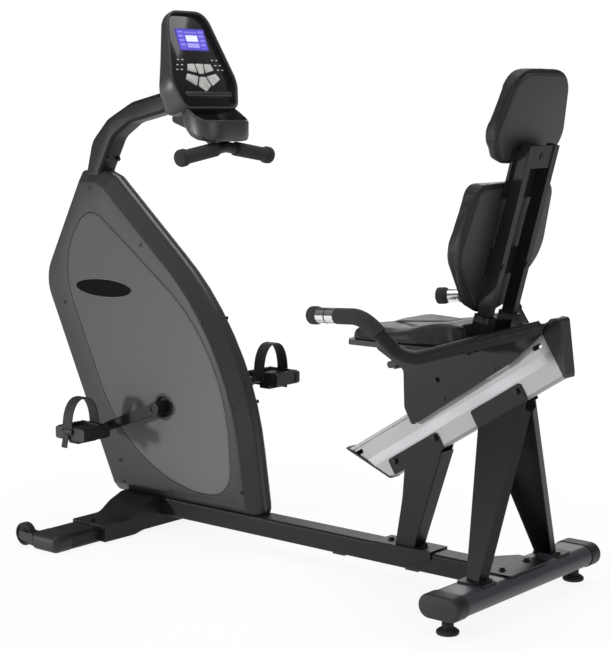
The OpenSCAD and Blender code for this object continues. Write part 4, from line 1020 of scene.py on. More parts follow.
@dataclass
class DriveCover:
    """The two halves of the drive cover, their side panels and plain badges."""

    outline: Sequence[Corner] = ((-1265, 866, 14), (-1409, 595, 120), (-1157, 74, 16),
                                 (-672, 74, 22), (-734, 494, 720), (-1150, 853, 22),
                                 (-1190, 868, 8))
    panel: Sequence[Corner] = ((-1217, 787, 57), (-1280, 698, 134), (-1305, 602, 191),
                               (-1172, 328, 539), (-1067, 161, 393), (-855, 114, 249),
                               (-745, 123, 62), (-761, 368, 466), (-878, 544, 464),
                               (-1081, 692, 1780))
    half: float = 46.0
    # how far in and how high: the rim from the bike's middle, the panel's edge from the half
    rim: Sequence[Spot] = ((0, 0.4), (0, 12.0), (0.5, 14.4), (2.0, 16.9), (4.4, 19.2), (21.8, 39.6),
                           (24.2, 42.6), (26.9, 44.9), (30.4, 46.0))
    roll: Sequence[Spot] = ((0, -6.0), (0, -0.6), (0.8, 0.5), (2.6, 1.3), (7, 1.9), (15, 2.6),
                            (28, 3.2), (46, 3.6))
    wall: float = 2.2
    gap: float = 1.3
    lip: float = 7.0
    collar: float = 9.0
    crank: Spot = CRANK
    hole: float = 58.0
    bore: float = 11.5
    badge: Spot = (-1162, 582)
    badge_half: Spot = (99, 23)
    badge_steps: int = 64

    def shell(self, right: bool) -> None:
        """One half of the cover, with its wide sloped rim and its opening for the panel.

        Args:
            right: whether it is on the rider's right.
        """
        form = Form(SIDE)
        form.stack(self.outline, self.rim)
        form.drop([form.plate(moved_in(self.panel, -self.gap), self.half, ROUNDS)])
        opening = [e for e in form.ring(self.half) if not e.link_faces]
        form.fill(form.open_ring(self.half))
        form.turn_in(opening, -self.lip)
        side = side_name(right)
        form.piece(f"cover_{side}", Finishes.SHROUD, "frame", [f"shroud_{side}"], right, self.wall)

    def side_panel(self, right: bool) -> None:
        """The silver panel with its rolled edge and the hole around the crank.

        Args:
            right: whether it is on the rider's right.
        """
        form = Form(SIDE)
        levels = [(inset, self.half + rise) for inset, rise in self.roll]
        top = levels[-1][1]
        form.stack(self.panel, levels)
        form.circle(*self.crank, top, self.hole / 2)
        hole = [e for e in form.ring(top) if not e.link_faces]
        form.fill(form.open_ring(top))
        form.turn_in(hole, -self.collar)
        form.piece(f"side_panel_{side_name(right)}", Finishes.PANEL, "frame", ["side_panels"],
                   right, self.wall)

    def crank_ring(self, right: bool) -> None:
        """The trim ring that lines the hole around the crank, with a black disc that closes the
        hole out from the bore as a dark sheet for the shade in the gap around the hub.

        Args:
            right: whether it is on the rider's right.
        """
        form = Form(SIDE)
        x, z = self.crank
        r = self.hole / 2
        # the flat disc from the bore out to the hole's edge is a dark sheet that stands for the
        # shade in the gap around the hub
        profile = [(self.bore, 41), (r - 0.5, 41), (r - 0.5, 49.8), (r + 3.0, 49.8),
                   (r + 3.2, 50.5), (r + 2.0, 51.2), (r - 2.6, 51.2), (r - 5, 49.6), (r - 7, 45),
                   (self.bore, 43)]
        form.lathe(profile, (x, z, 0), (0, 0, 1), (1, 0, 0))
        form.piece(f"crank_ring_{side_name(right)}", Finishes.BLACK, "frame", (), right)

    def plain_badge(self, right: bool) -> None:
        """An oval badge with a bright rim and a bare dark middle.

        Args:
            right: whether it is on the rider's right.
        """
        (x, z), (wide, tall) = self.badge, self.badge_half
        turns = [math.tau * step / self.badge_steps for step in range(self.badge_steps)]
        for name, finish, inset, levels in (("badge_rim", Finishes.BADGE_RIM, 0.0, (48.6, 50.4)),
                                            ("badge_middle", Finishes.BADGE, 1.6, (49.0, 50.8))):
            form = Form(SIDE)
            oval = [(x + (wide - inset) * math.cos(turn), z + (tall - inset) * math.sin(turn), 0)
                    for turn in turns]
            form.slab(oval, levels, rounding=0.6)
            form.piece(f"{name}_{side_name(right)}", finish, "frame", ["badges"], right)

    def build(self) -> None:
        """Makes both sides."""
        for right in (False, True):
            self.shell(right)
            self.side_panel(right)
            self.crank_ring(right)
            self.plain_badge(right)


# ---------------------------------------------------------------- mast and console


@dataclass
class Mast:
    """The bent mast of formed tube."""

    outline: Sequence[Corner] = ((-1200, 820, 0), (-1190, 868, 40), (-1146, 948, 50),
                                 (-1088, 984, 60), (-985, 1006, 60), (-873.3, 1040, 0),
                                 (-889, 1082, 0), (-985, 1055, 60), (-1082, 1034, 90),
                                 (-1166, 993, 60), (-1222, 938, 60), (-1254, 820, 0))
    width: float = 56.0
    rounding: float = 10.0

    def build(self) -> None:
        """Makes the mast."""
        form = Form(SIDE)
        form.slab(self.outline, (-self.width / 2, self.width / 2))
        form.soften(form.ring(-self.width / 2) + form.ring(self.width / 2), self.rounding, 5)
        form.piece("mast_tube", Finishes.FRAME, "frame", ["mast"])


@dataclass
class Console:
    """The console's shell and tray, its display, ledge, marks and keys."""

    outline: Sequence[Corner] = ((-88, -172, 26), (88, -172, 26), (112, -106, 70), (64, 70, 44),
                                 (-64, 70, 44), (-112, -106, 70))
    # how far in and how high above the face, for the shell and for the gloss face
    rim: Sequence[Spot] = ((34, -25.0), (22, -24.6), (12, -22.4), (5, -18.0), (1.4, -12.0),
                           (0, -5.0), (0, 4.2), (0.7, 6.0), (2.2, 6.9), (3.8, 7.0), (5.2, 6.4),
                           (6.0, 5.0), (6.3, -0.6))
    sunk: Sequence[Spot] = ((6.6, -1.4), (6.6, -0.3), (7.0, 0.0))
    window: Spot = (98, 54)
    # foot and top above the face
    window_levels: Spot = (-1.0, 0.3)
    ledge_levels: Spot = (-1.0, 9.0)
    key_levels: Spot = (-4.0, 2.5)
    ledge_bar: Sequence[Corner] = ((-74, -142, 5), (74, -142, 5), (80, -130, 5), (-80, -130, 5))
    # height on the face, inner and outer place of each row of dashes
    dashes: Sequence[Point] = ((-50.0, 50, 65), (-62.5, 56, 71), (-74.0, 61, 76))
    dash: Point = (7.0, 2.4, 0.3)
    keys: Sequence[Sequence[Corner]] = (
        ((-17, -60, 2), (-38, -61, 2), (-44, -76, 2), (-14, -82, 2)),
        ((13, -60, 2), (-13, -60, 2), (-8, -84, 2), (8, -84, 2)),
        ((38, -61, 2), (17, -60, 2), (14, -82, 2), (44, -76, 2)),
        ((-48, -84, 2), (-57, -98, 2), (-27, -114, 2), (-14, -91, 2)),
        ((9, -92, 2), (-9, -92, 2), (-20, -114, 2), (0, -128, 2), (20, -114, 2)),
        ((48, -84, 2), (14, -91, 2), (27, -114, 2), (57, -98, 2)))
    swell: Sequence[Spot] = ((-172, 3.1), (-150, 2.9), (-106, 2.3), (-40, 1.6), (30, 1.15),
                             (70, 1.0))
    bowl: Sequence[Corner] = ((-884, -58, 22), (-836, -92, 70), (-769, -64, 62), (-769, 64, 62),
                              (-836, 92, 70), (-884, 58, 22))
    # how far in, and the share of the height between belly and brim
    tray_rim: Sequence[Spot] = ((16, 0.0), (6, 0.03), (1.5, 0.12), (0, 0.3), (0, 0.9), (0.7, 0.97),
                                (2.0, 1.0), (3.4, 0.985), (4.2, 0.93), (5.0, 0.4), (8.0, 0.2),
                                (14, 0.12), (22, 0.1))
    tray_height: float = 40.0
    tray_cuts: Sequence[int] = range(-900, -776, 7)
    brim: Sequence[Spot] = ((-900, 1050), (-848, 1022), (-815, 1001), (-795, 992.6), (-740, 991))
    belly: Sequence[Spot] = ((-900, 1018), (-884, 999), (-862, 973), (-838, 954.5), (-815, 945.5),
                             (-795, 943), (-740, 943))

    def shell(self) -> None:
        """The shell with its raised rim and rounded back."""
        form = Form(FACE)
        form.closed_stack(self.outline, self.rim)
        for vert in form.bm.verts:
            if vert.co.z < 0:
                vert.co.z *= along(self.swell, vert.co.y)
        form.piece("console_shell", Finishes.CONSOLE, "frame", ["console_back"])

    def face(self) -> None:
        """The gloss face that lies inside the rim."""
        form = Form(FACE)
        form.closed_stack(self.outline, self.sunk)
        form.piece("gloss_face", Finishes.FACE, "frame", ["console_face"])

    def tray(self) -> None:
        """The bowl below the console, drawn flat first and then given its rising side view."""
        form = Form(TOP)
        form.closed_stack(self.bowl, [(inset, share * self.tray_height)
                                      for inset, share in self.tray_rim])
        for x in self.tray_cuts:
            everything = form.bm.verts[:] + form.bm.edges[:] + form.bm.faces[:]
            bmesh.ops.bisect_plane(form.bm, geom=everything, plane_co=(x, 0, 0),
                                   plane_no=(1, 0, 0))
        for vert in form.bm.verts:
            low, high = along(self.belly, vert.co.x), along(self.brim, vert.co.x)
            vert.co.z = low + (high - low) * vert.co.z / self.tray_height
        form.piece("console_tray", Finishes.CONSOLE, "frame", ["console_back"])

    def display(self) -> None:
        """The lit window, flush with the gloss face."""
        w, h = self.window
        form = Form(FACE)
        corners = [(-w / 2, -h / 2, 1.5), (w / 2, -h / 2, 1.5), (w / 2, h / 2, 1.5),
                   (-w / 2, h / 2, 1.5)]
        form.slab(corners, self.window_levels, 4)
        layer = form.bm.loops.layers.uv.new("window")
        for face in form.bm.faces:
            for loop in face.loops:
                loop[layer].uv = (0.5 + loop.vert.co.x / w, 0.5 + loop.vert.co.y / h)
        form.piece("display_window", Finishes.DISPLAY, "frame", ["lcd_lens"])

    def marks(self) -> None:
        """Small printed dashes beside the keys, left without words."""
        form = Form(FACE)
        for y, near, far in self.dashes:
            for x in (-near, -far, near, far):
                form.block((x, y, self.dash[2] / 2), self.dash, 0.1)
        form.piece("face_marks", Finishes.MARK, "frame")

    def ledge(self) -> None:
        """The raised book rest across the foot of the face."""
        form = Form(FACE)
        form.slab(self.ledge_bar, self.ledge_levels, 6, rounding=3.0, rounds=4)
        form.piece("book_ledge", Finishes.LEDGE, "frame")

    def key_caps(self) -> None:
        """The six keys, each on its own body."""
        for i, corners in enumerate(self.keys, 1):
            form = Form(FACE)
            form.slab(corners, self.key_levels, 4, rounding=1.0)
            form.piece(f"key_cap_{i}", Finishes.KEY, f"button_{i}", [f"key_{i}"])

    def build(self) -> None:
        """Makes the console."""
        self.shell()
        self.face()
        self.tray()
        self.display()
        self.marks()
        self.ledge()
        self.key_caps()


# ---------------------------------------------------------------- upholstery


@dataclass
class Pad:
    """A cushion that is blown up from a smaller closed form by cloth simulation."""

    name: str
    node: str
    plane: Plane
    outline: Sequence[Corner]
    low: float
    high: float
    fill: float
    front_round: float
    back_round: float
    cap: float
    voxel: float = 5.0
    seams: Sequence[Sequence[Spot]] = ()
    shape: Optional[Callable[[Vector], None]] = None
    glue: float = 3.0
    pressure: float = 4.0
    stiffness: float = 8.0
    bending: float = 0.6
    frames: int = 20
    seam_depth: float = 5.0
    seam_width: float = 6.5

    def body_mesh(self) -> bpy.types.Object:
        """The smaller closed form, in metres.

        Returns:
            The form as a piece.
        """
        form = Form(self.plane)
        form.slab(self.outline, (self.low, self.high), rounding=self.front_round, rounds=4)
        form.soften(form.ring(self.low), self.back_round, 2)
        if self.shape:
            bmesh.ops.triangulate(form.bm, faces=form.bm.faces)
            bmesh.ops.subdivide_edges(form.bm, edges=form.bm.edges, cuts=3, use_grid_fill=True)
            for vert in form.bm.verts:
                self.shape(vert.co)
        return form.piece(self.name, Finishes.VINYL, "seat", [self.node])

    def inflate(self, pad: bpy.types.Object) -> None:
        """Remeshes the pad, blows it up and keeps each point's travel under the cap.

        Args:
            pad: the pad's object.
        """
        to_local = self.plane.matrix().inverted()
        remesh = pad.modifiers.new("even", "REMESH")
        remesh.mode = "VOXEL"
        remesh.voxel_size = self.voxel * MM
        self.bake(pad)
        start = [v.co.copy() for v in pad.data.vertices]
        group = pad.vertex_groups.new(name="glued")
        glued = [v.index for v in pad.data.vertices
                 if abs((to_local @ v.co).z - self.low) < self.glue]
        group.add(glued, 1.0, "REPLACE")
        cloth = pad.modifiers.new("cloth", "CLOTH")
        cloth.settings.vertex_group_mass = "glued"
        cloth.settings.use_pressure = True
        cloth.settings.uniform_pressure_force = self.pressure
        cloth.settings.tension_stiffness = self.stiffness
        cloth.settings.compression_stiffness = self.stiffness
        cloth.settings.bending_stiffness = self.bending
        cloth.settings.effector_weights.gravity = 0.0
        cloth.point_cache.frame_start = 1
        cloth.point_cache.frame_end = self.frames
        for step in range(1, self.frames + 1):
            bpy.context.scene.frame_set(step)
        self.bake(pad)
        for vert, first in zip(pad.data.vertices, start):
            travel = vert.co - first
            limit = self.cap * MM
            if travel.length > limit:
                vert.co = first + travel.normalized() * limit
        bpy.context.scene.frame_set(1)
        pad.vertex_groups.clear()

    def bake(self, pad: bpy.types.Object) -> None:
        """Puts the modifiers' result into the mesh.

        Args:
            pad: the pad's object.
        """
        graph = bpy.context.evaluated_depsgraph_get()
        mesh = bpy.data.meshes.new_from_object(pad.evaluated_get(graph), depsgraph=graph)
        pad.modifiers.clear()
        pad.data = mesh

    def sew(self, pad: bpy.types.Object) -> None:
        """Presses the sewn channels into the upper face.

        Args:
            pad: the pad's object.
        """
        matrix = self.plane.matrix()
        back = matrix.inverted()
        bm = bmesh.new()
        bm.from_mesh(pad.data)
        bmesh.ops.smooth_vert(bm, verts=bm.verts, factor=0.5, use_axis_x=True, use_axis_y=True,
                              use_axis_z=True)
        out = 1 if self.high > self.low else -1
        for vert in bm.verts:
            local = back @ vert.co
            if (local.z - self.low) * out < abs(self.high - self.low) * 0.5:
                continue
            for seam in self.seams:
                gap = min(distance_to(local, a, b) for a, b in zip(seam, seam[1:]))
                local.z -= out * self.seam_depth * math.exp(-((gap / self.seam_width) ** 2))
            vert.co = matrix @ local
        for face in bm.faces:
            face.smooth = True
        bm.to_mesh(pad.data)
        bm.free()

    def build(self) -> None:
        """Makes the finished pad."""
        pad = self.body_mesh()
        self.inflate(pad)
        self.sew(pad)
        if not pad.data.materials:
            pad.data.materials.append(Finishes.VINYL.material)
        smooth = pad.modifiers.new("smooth", "SUBSURF")
        smooth.levels = smooth.render_levels = 1
        LOG.info("%s: padded, %d faces", self.name, len(pad.data.polygons))


def distance_to(point: Vector, a: Spot, b: Spot) -> float:
    """The distance in the plane from a point to a stretch between two points.

    Args:
        point: the point.
        a: one end of the stretch.
        b: its other end.

    Returns:
        The distance.
    """
    p, start, end = Vector(point[:2]), Vector(a), Vector(b)
    stretch = end - start
    share = max(0.0, min(1.0, (p - start).dot(stretch) / stretch.length_squared))
    return (p - start - stretch * share).length


@dataclass
class Upholstery:
    """The seat cushion and the two back pads with their plastic backs."""

    lower: Sequence[Corner] = ((52, 14, 40), (161, 133.5, 90), (140, 292, 34))
    head: Sequence[Corner] = ((86, 328, 30), (131, 380.4, 60), (97, 522, 56))
    pad_front: float = -20.0
    lower_depth: float = 46.0
    head_depth: float = 40.0
    pad_foot: float = 4.5
    edge: float = 2.5
    shell_edge: float = 9.0
    shell_round: float = 4.5
    shell_levels: Spot = (-8.0, -1.0)
    seat_levels: Spot = (544.5, 568.0)
    seam: Sequence[Spot] = ((-300, 0), (-250, 34), (-190, 62), (-118, 78), (-64, 84))
    # the seat's rear: above this height it rises by this much, from here over this run
    rise_above: float = 548
    rise: float = 20.0
    rise_from: float = -215
    rise_run: float = 110
    hollow: float = 4.0
    hollow_half: float = 70
    # where the seat stops between the backrest's feet, half that gap and what may reach past it
    notch: float = -100
    notch_half: float = 64
    notch_share: float = 0.05
    seat: Sequence[Corner] = ((-341, -72, 200), (-319, -145, 18), (-176, -143, 40), (-60, -119, 26),
                              (-60, 119, 26), (-176, 143, 40), (-319, 145, 18), (-341, 72, 200))

    def back_shell(self, name: str, corners: Sequence[Corner]) -> None:
        """The plastic back of a pad, domed a little and set into the cover.

        Args:
            name: the piece's name.
            corners: the right half of the pad's outline.
        """
        form = Form(BACKREST)
        levels = tuple(self.pad_front + level for level in self.shell_levels)
        form.slab(moved_in(mirrored(corners), self.shell_edge), levels,
                  rounding=self.shell_round, rounds=4)
        form.piece(name, Finishes.BACK, "seat", ["pad_backs"])

    def build(self) -> None:
        """Makes the pads."""
        low = self.pad_front - self.pad_foot
        for name, node, corners, depth, rounding in (
                ("lower_back_pad", "lower_pad", self.lower, self.lower_depth, 14.0),
                ("head_rest_pad", "head_pad", self.head, self.head_depth, 13.0)):
            Pad(name, node, BACKREST, moved_in(mirrored(corners), self.edge), low,
                self.pad_front - depth, fill=0.8, front_round=rounding, back_round=4.0,
                cap=4.0).build()
        self.back_shell("lower_back_shell", self.lower)
        self.back_shell("head_back_shell", self.head)
        seams = [[(x, side * y) for x, y in self.seam] for side in (-1, 1)]
        Pad("seat_pad", "seat_cushion", TOP, moved_in(self.seat, self.edge), *self.seat_levels,
            fill=0.75, front_round=10.0, back_round=3.0, cap=4.5, seams=seams,
            shape=self.seat_rise).build()

    def seat_rise(self, point: Vector) -> None:
        """Raises the rear of the seat and keeps it clear of the backrest's feet.

        Args:
            point: a point of the form, which is moved.
        """
        if point.z > self.rise_above:
            share = min(1.0, max(0.0, (point.x - self.rise_from) / self.rise_run))
            point.z += (self.rise * share * share * (3 - 2 * share)
                        - self.hollow * math.exp(-(point.y / self.hollow_half) ** 2))
        if point.x > self.notch and abs(point.y) < self.notch_half:
            point.x = self.notch + (point.x - self.notch) * self.notch_share


# ---------------------------------------------------------------- pedals


@dataclass
class PedalDress:
    """The strap, tread and hanging strap end of one pedal."""

    side: int
    crank: Spot = CRANK
    arm: float = 175.0
    turn: float = math.radians(21.2)
    out: float = 161.5
    width: float = 84.0
    thickness: float = 30.0
    rise: float = 84.0
    strap_width: float = 32.0
    strap_wall: float = 2.6
    strap_front: float = -22
    strap_foot: float = -4
    strap_gap: float = 1.8
    arch_steps: int = 36
    end_front: float = -18
    end_width: float = 19.0
    end_gap: float = 3.4
    # how far out and how high the hanging end runs
    end_curve: Sequence[Spot] = ((0.0, 6), (1.2, -4), (3.0, -14), (5.5, -24), (7.0, -33))
    buckle_gap: float = 4.6
    buckle_plate: Point = (38, 5.0, 9.0)
    buckle_bar: Point = (24, 4.0, 4.0)
    map_scale: float = 0.02
    strands: int = 4

    @property
    def hand(self) -> str:
        """The rider's side in a piece's name."""
        return side_name(self.side > 0)

    @property
    def body(self) -> str:
        """The body that the pedal's pieces ride on."""
        return f"{self.hand}_pedal"

    def centre(self) -> Vector:
        """The pedal's middle in the maker's layout.

        Returns:
            The point.
        """
        (x, z), reach = self.crank, self.side * self.arm
        return Vector((x + reach * math.cos(self.turn), self.side * self.out,
                       z + reach * math.sin(self.turn)))

    def form(self) -> Form:
        """An empty mesh on the level of the pedal's middle."""
        return Form(Plane(tuple(self.centre()), (1, 0, 0), (0, 1, 0)))

    def ribbon(self, path: Sequence[Spot], name: str, x0: float, width: float,
               stands_for: Sequence[str] = ()) -> None:
        """A flat strap along a path of (y, z) points, with its own map.

        Args:
            path: points across the pedal.
            name: the piece's name.
            x0: where its front edge is.
            width: its width along the bike.
            stands_for: CAD nodes that it replaces.
        """
        form = self.form()
        bm = form.bm
        layer = bm.loops.layers.uv.new("strap")
        first = [bm.verts.new((x0 + width * k / self.strands, *path[0]))
                 for k in range(self.strands + 1)]
        edges = [bm.edges.new(pair) for pair in zip(first, first[1:])]
        length = 0.0
        for (y0, z0), (y1, z1) in zip(path, path[1:]):
            step = math.hypot(y1 - y0, z1 - z0)
            made = bmesh.ops.extrude_edge_only(bm, edges=edges)["geom"]
            bmesh.ops.translate(bm, vec=(0, y1 - y0, z1 - z0),
                                verts=[g for g in made if isinstance(g, bmesh.types.BMVert)])
            edges = [g for g in made if isinstance(g, bmesh.types.BMEdge)]
            for face in (g for g in made if isinstance(g, bmesh.types.BMFace)):
                for loop in face.loops:
                    far = (loop.vert.co.yz - Vector((y1, z1))).length < 1e-3
                    loop[layer].uv = ((loop.vert.co.x - x0) * self.map_scale,
                                      (length + (step if far else 0)) * self.map_scale)
            length += step
        made = form.piece(name, Finishes.STRAP, self.body, stands_for, wall=self.strap_wall)
        made.modifiers["wall"].offset = 0.0
        edge = made.modifiers.new("edge", "BEVEL")
        edge.width = 0.7 * MM
        edge.segments = 2

    def strap(self) -> None:
        """The arch over the foot."""
        half = self.width / 2 + self.strap_gap
        base = self.thickness / 2 - 6
        arch = [(half * math.copysign(abs(math.cos(a)) ** 0.86, math.cos(a)),
                 base + (self.rise - 1.5 - base) * math.sin(a) ** 0.9)
                for a in (math.pi * k / self.arch_steps for k in range(self.arch_steps + 1))]
        path = [(half, self.strap_foot)] + arch + [(-half, self.strap_foot)]
        self.ribbon(path, f"strap_{self.hand}", self.strap_front, self.strap_width,
                    [f"pedal_strap_{self.hand}"])

    def strap_end(self) -> None:
        """The free end that hangs below the buckle on the outer side."""
        y = self.side * (self.width / 2 + self.end_gap)
        path = [(y + self.side * out, z) for out, z in self.end_curve]
        self.ribbon(path, f"strap_end_{self.hand}", self.end_front, self.end_width)

    def tread(self) -> None:
        """Rows of small blocks that grip the shoe."""
        form = self.form()
        top = self.thickness / 2
        blocks = [((x, y, top + 0.6), (5.4, 9.0, 2.4))
                  for y in (-36, 36) for x in range(-40, 41, 10)]
        blocks += [((x, y, top + 0.2), (9.0, 5.4, 2.2))
                   for x in (-41, 41) for y in range(-25, 26, 10)]
        for place, size in blocks:
            form.block(place, size, 0.5)
        form.piece(f"tread_{self.hand}", Finishes.BLACK, self.body)

    def buckle(self) -> None:
        """The small buckle that holds the strap's end."""
        form = self.form()
        y = self.side * (self.width / 2 + self.buckle_gap)
        form.block((-6, y, 6), self.buckle_plate, 1.4)
        form.block((-6, y + self.side * 1.5, 6), self.buckle_bar, 1.0)
        form.piece(f"buckle_{self.hand}", Finishes.BLACK, self.body)

    def build(self) -> None:
        """Dresses the pedal."""
        self.strap()
        self.strap_end()
        self.tread()
        self.buckle()


# ---------------------------------------------------------------- stabiliser caps


@dataclass
class EndCap:
    """The moulded caps on both ends of a stabiliser tube, some with forks for a wheel."""

    name: str
    node: str
    outline: Sequence[Corner]
    inner: float
    outer: float
    nose: float
    forks: Sequence[float] = ()
    fork_outline: Sequence[Corner] = ((-1142.5, 20, 8.9), (-1093, 9, 2), (-1093, 37, 2),
                                      (-1142.5, 38, 8.9))
    fork_depth: float = 5.0
    nose_steps: int = 5

    def build(self) -> None:
        """Makes the left and the right cap."""
        rounds = [math.radians(90 * step / self.nose_steps)
                  for step in range(1, self.nose_steps + 1)]
        levels = [(0.0, self.inner), (0.0, self.outer - self.nose)]
        levels += [(self.nose * (1 - math.cos(turn)), self.outer - self.nose * (1 - math.sin(turn)))
                   for turn in rounds]
        for right in (False, True):
            form = Form(SIDE)
            form.closed_stack(self.outline, levels, 10)
            for low in self.forks:
                form.slab(self.fork_outline, (low, low + self.fork_depth), 6)
            form.piece(f"{self.name}_{side_name(right)}", Finishes.BLACK, "frame", [self.node],
                       right)


END_CAPS = (
    EndCap("front_cap", "front_end_caps",
           ((-1105, 0, 16), (-1013, 0, 16), (-1013, 42, 16), (-1105, 42, 16)),
           302.0, 353.0, 15.0, (321.0, 348.0)),
    EndCap("rear_cap", "rear_end_caps",
           ((-49.5, 33.5, 24.9), (49.5, 33.5, 24.9), (49.5, 83.5, 24.9), (-49.5, 83.5, 24.9)),
           237.0, 273.0, 6.0))


# ---------------------------------------------------------------- carried-over nodes


CARRIED: Dict[Finishes, Sequence[str]] = {
    Finishes.FRAME: ("main_beam", "front_stabiliser", "front_saddle", "front_leg", "rear_legs",
                     "inner_frame", "grip_bar", "seat_carriage", "side_bars", "backrest_frame",
                     "mast"),
    Finishes.STABILISER: ("rear_stabiliser",),
    Finishes.BLACK: ("front_end_caps", "rear_end_caps", "rail_front_cap", "rail_rear_cover",
                     "pedal_left", "pedal_right", "power_inlet", "release_lever", "seat_shell"),
    Finishes.SHROUD: ("shroud_left", "shroud_right"),
    Finishes.PANEL: ("side_panels",),
    Finishes.BADGE: ("badges",),
    Finishes.RAIL: ("rail",),
    Finishes.BLACK_STEEL: ("frame_fasteners", "seat_fasteners", "crank_arms"),
    Finishes.STEEL: ("crank_bearings", "crank_axle"),
    Finishes.IRON: ("flywheel",),
    Finishes.BELT: ("drive_belt",),
    Finishes.DIE_CAST: ("drive_pulley", "magnet_arm"),
    Finishes.MOTOR: ("tension_motor",),
    Finishes.CONSOLE: ("console_back",),
    Finishes.FACE: ("console_face",),
    Finishes.DISPLAY: ("lcd_lens",),
    Finishes.BOARD: ("console_board",),
    Finishes.KEY: tuple(f"key_{i}" for i in range(1, 7)),
    Finishes.FOAM: ("bar_foams", "side_bar_grips"),
    Finishes.CHROME: ("pulse_sensors",),
    Finishes.ACETAL: ("carriage_sliders",),
    Finishes.VINYL: ("seat_cushion", "lower_pad", "head_pad"),
    Finishes.BACK: ("pad_backs",),
    Finishes.FOOT: ("transport_wheel_left", "transport_wheel_right", "levelling_foot_left",
                    "levelling_foot_right"),
    Finishes.STRAP: ("pedal_strap_left", "pedal_strap_right"),
}


LEG_ROUNDING = 0.8


def round_legs() -> None:
    """Rounds the hard edges of the rear legs."""
    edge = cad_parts["rear_legs"].modifiers.new("edge", "BEVEL")
    edge.width = LEG_ROUNDING * MM
    edge.segments = 2
    edge.limit_method = "ANGLE"
    edge.angle_limit = math.radians(42)
    edge.use_clamp_overlap = True
    edge.harden_normals = True


def dress_nodes() -> None:
    """Gives every node of the frame its finish."""
    round_legs()
    for finish, nodes in CARRIED.items():
        for node in nodes:
            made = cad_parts[node]
            made.data.materials.clear()
            made.data.materials.append(finish.material)
            LOG.info("%s: %s", node, finish.value.name)


# ---------------------------------------------------------------- studio


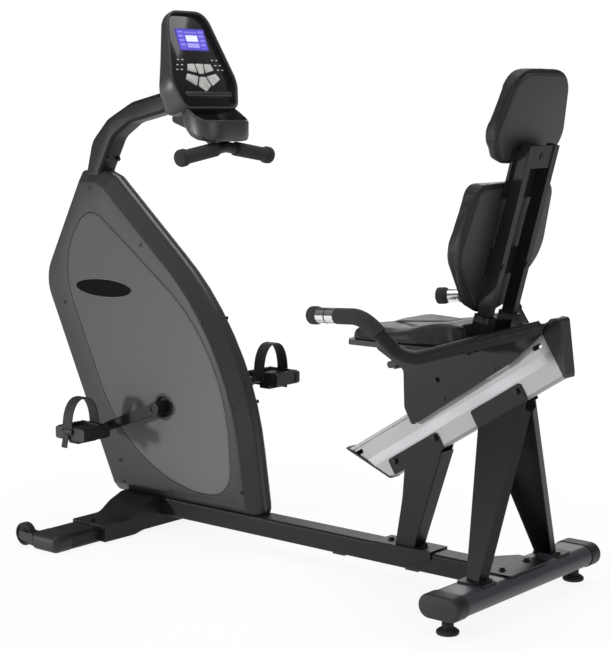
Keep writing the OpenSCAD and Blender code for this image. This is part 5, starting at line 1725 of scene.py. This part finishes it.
@dataclass
class Studio:
    """The pale floor, soft lights and the camera."""

    camera_at: Point = (1767, -2805, 1030)
    looks_at: Point = (-561.8, 0, 537.2)
    lens: float = 90.8
    clip_end: float = 100.0
    # metres: half the floor, and where it has faded to full white
    floor_half: float = 30.0
    fade: Spot = (0.9, 2.2)
    floor_tone: float = 0.86
    floor_white: float = 1.04
    # height and grey of the surround that lights the bike, and its strength
    surround: Sequence[Spot] = ((0.0, 0.22), (0.3, 0.5), (1.0, 1.0))
    surround_strength: float = 0.34
    # name, place, aim, size and power, in metres and watts
    lamps: Sequence[Tuple[str, Point, Point, float, float]] = (
        ("key", (-2.3, -3.1, 0.52), (-0.25, 0.0, 0.45), 0.3, 60),
        ("sky", (-0.6, -2.0, 3.4), (0.0, 0.0, 0.5), 2.2, 26),
        ("fill", (3.6, -1.9, 1.5), (0.1, 0.0, 0.5), 2.0, 34),
        ("top", (0.3, 0.6, 3.6), (0.0, 0.0, 0.3), 2.4, 44),
        ("back", (-1.6, 3.2, 2.2), (0.0, 0.0, 0.7), 1.8, 40))

    def floor(self) -> None:
        """A wide pale floor that keeps the bike's shadow."""
        bm = bmesh.new()
        bmesh.ops.create_grid(bm, x_segments=1, y_segments=1, size=self.floor_half)
        mesh = bpy.data.meshes.new("floor")
        bm.to_mesh(mesh)
        bm.free()
        floor = bpy.data.objects.new("floor", mesh)
        bpy.context.scene.collection.objects.link(floor)
        s = Shader("studio_floor")
        path = s.node("ShaderNodeLightPath")
        seen = Term(s, path.outputs["Is Camera Ray"]).most(Term(s, path.outputs["Is Glossy Ray"]))
        reach = s.node("ShaderNodeVectorMath", {"operation": "LENGTH"}, {0: s.coords()})
        share = seen * (0.86 + 0.14 * Term(s, reach.outputs["Value"]).ease(*self.fade))
        plain = s.node("ShaderNodeBsdfDiffuse", values={"Color": (self.floor_tone,) * 3})
        white = s.node("ShaderNodeEmission", values={"Color": (1.0, 1.0, 1.0),
                                                     "Strength": self.floor_white})
        mesh.materials.append(s.ended(s.node("ShaderNodeMixShader", values={
            0: share, 1: plain.outputs[0], 2: white.outputs[0]})))

    def world(self) -> None:
        """A white surround for the camera and a softer graded one for the surfaces."""
        s = Shader("studio", world=True)
        path = s.node("ShaderNodeLightPath")
        place = s.node("ShaderNodeTexCoord").outputs["Generated"]
        grey = s.node("ShaderNodeValToRGB",
                      {"stops": [(height, (level,) * 3) for height, level in self.surround]},
                      {0: s.axes(place)[2]})
        soft = s.node("ShaderNodeBackground",
                      values={"Color": grey.outputs[0], "Strength": self.surround_strength})
        white = s.node("ShaderNodeBackground", values={"Color": (1.0, 1.0, 1.0)})
        bpy.context.scene.world = s.ended(s.node("ShaderNodeMixShader", values={
            0: path.outputs["Is Camera Ray"], 1: soft.outputs[0], 2: white.outputs[0]}))

    def lamp(self, name: str, place: Point, aim: Point, size: float, power: float) -> None:
        """A square soft lamp, in metres.

        Args:
            name: the lamp's name.
            place: where it is.
            aim: what it points at.
            size: the length of its edge.
            power: its power, in watts.
        """
        data = bpy.data.lights.new(name, "AREA")
        data.shape = "SQUARE"
        data.size = size
        data.energy = power
        lamp = bpy.data.objects.new(name, data)
        lamp.location = place
        lamp.rotation_euler = (Vector(aim) - Vector(place)).to_track_quat("-Z", "Y").to_euler()
        bpy.context.scene.collection.objects.link(lamp)

    def camera(self) -> None:
        """The camera at the studio's usual three-quarter view."""
        data = bpy.data.cameras.new("camera")
        data.lens = self.lens
        camera = bpy.data.objects.new("camera", data)
        place, target = at(*self.camera_at), at(*self.looks_at)
        camera.location = place
        camera.rotation_euler = (target - place).to_track_quat("-Z", "Y").to_euler()
        data.clip_end = self.clip_end
        bpy.context.scene.collection.objects.link(camera)
        bpy.context.scene.camera = camera

    def build(self) -> None:
        """Sets the studio up."""
        self.floor()
        self.world()
        for row in self.lamps:
            self.lamp(*row)
        self.camera()
        bpy.context.scene.view_settings.view_transform = "Standard"


def main() -> None:
    """Builds the bike's looks in order."""
    logging.basicConfig(level=logging.INFO, format="%(message)s")
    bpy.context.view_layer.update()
    dress_nodes()
    for caps in END_CAPS:
        caps.build()
    DriveCover().build()
    Mast().build()
    Console().build()
    Upholstery().build()
    for side in (-1, 1):
        PedalDress(side).build()
    Studio().build()
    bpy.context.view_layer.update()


if __name__ == "__main__":
    main()
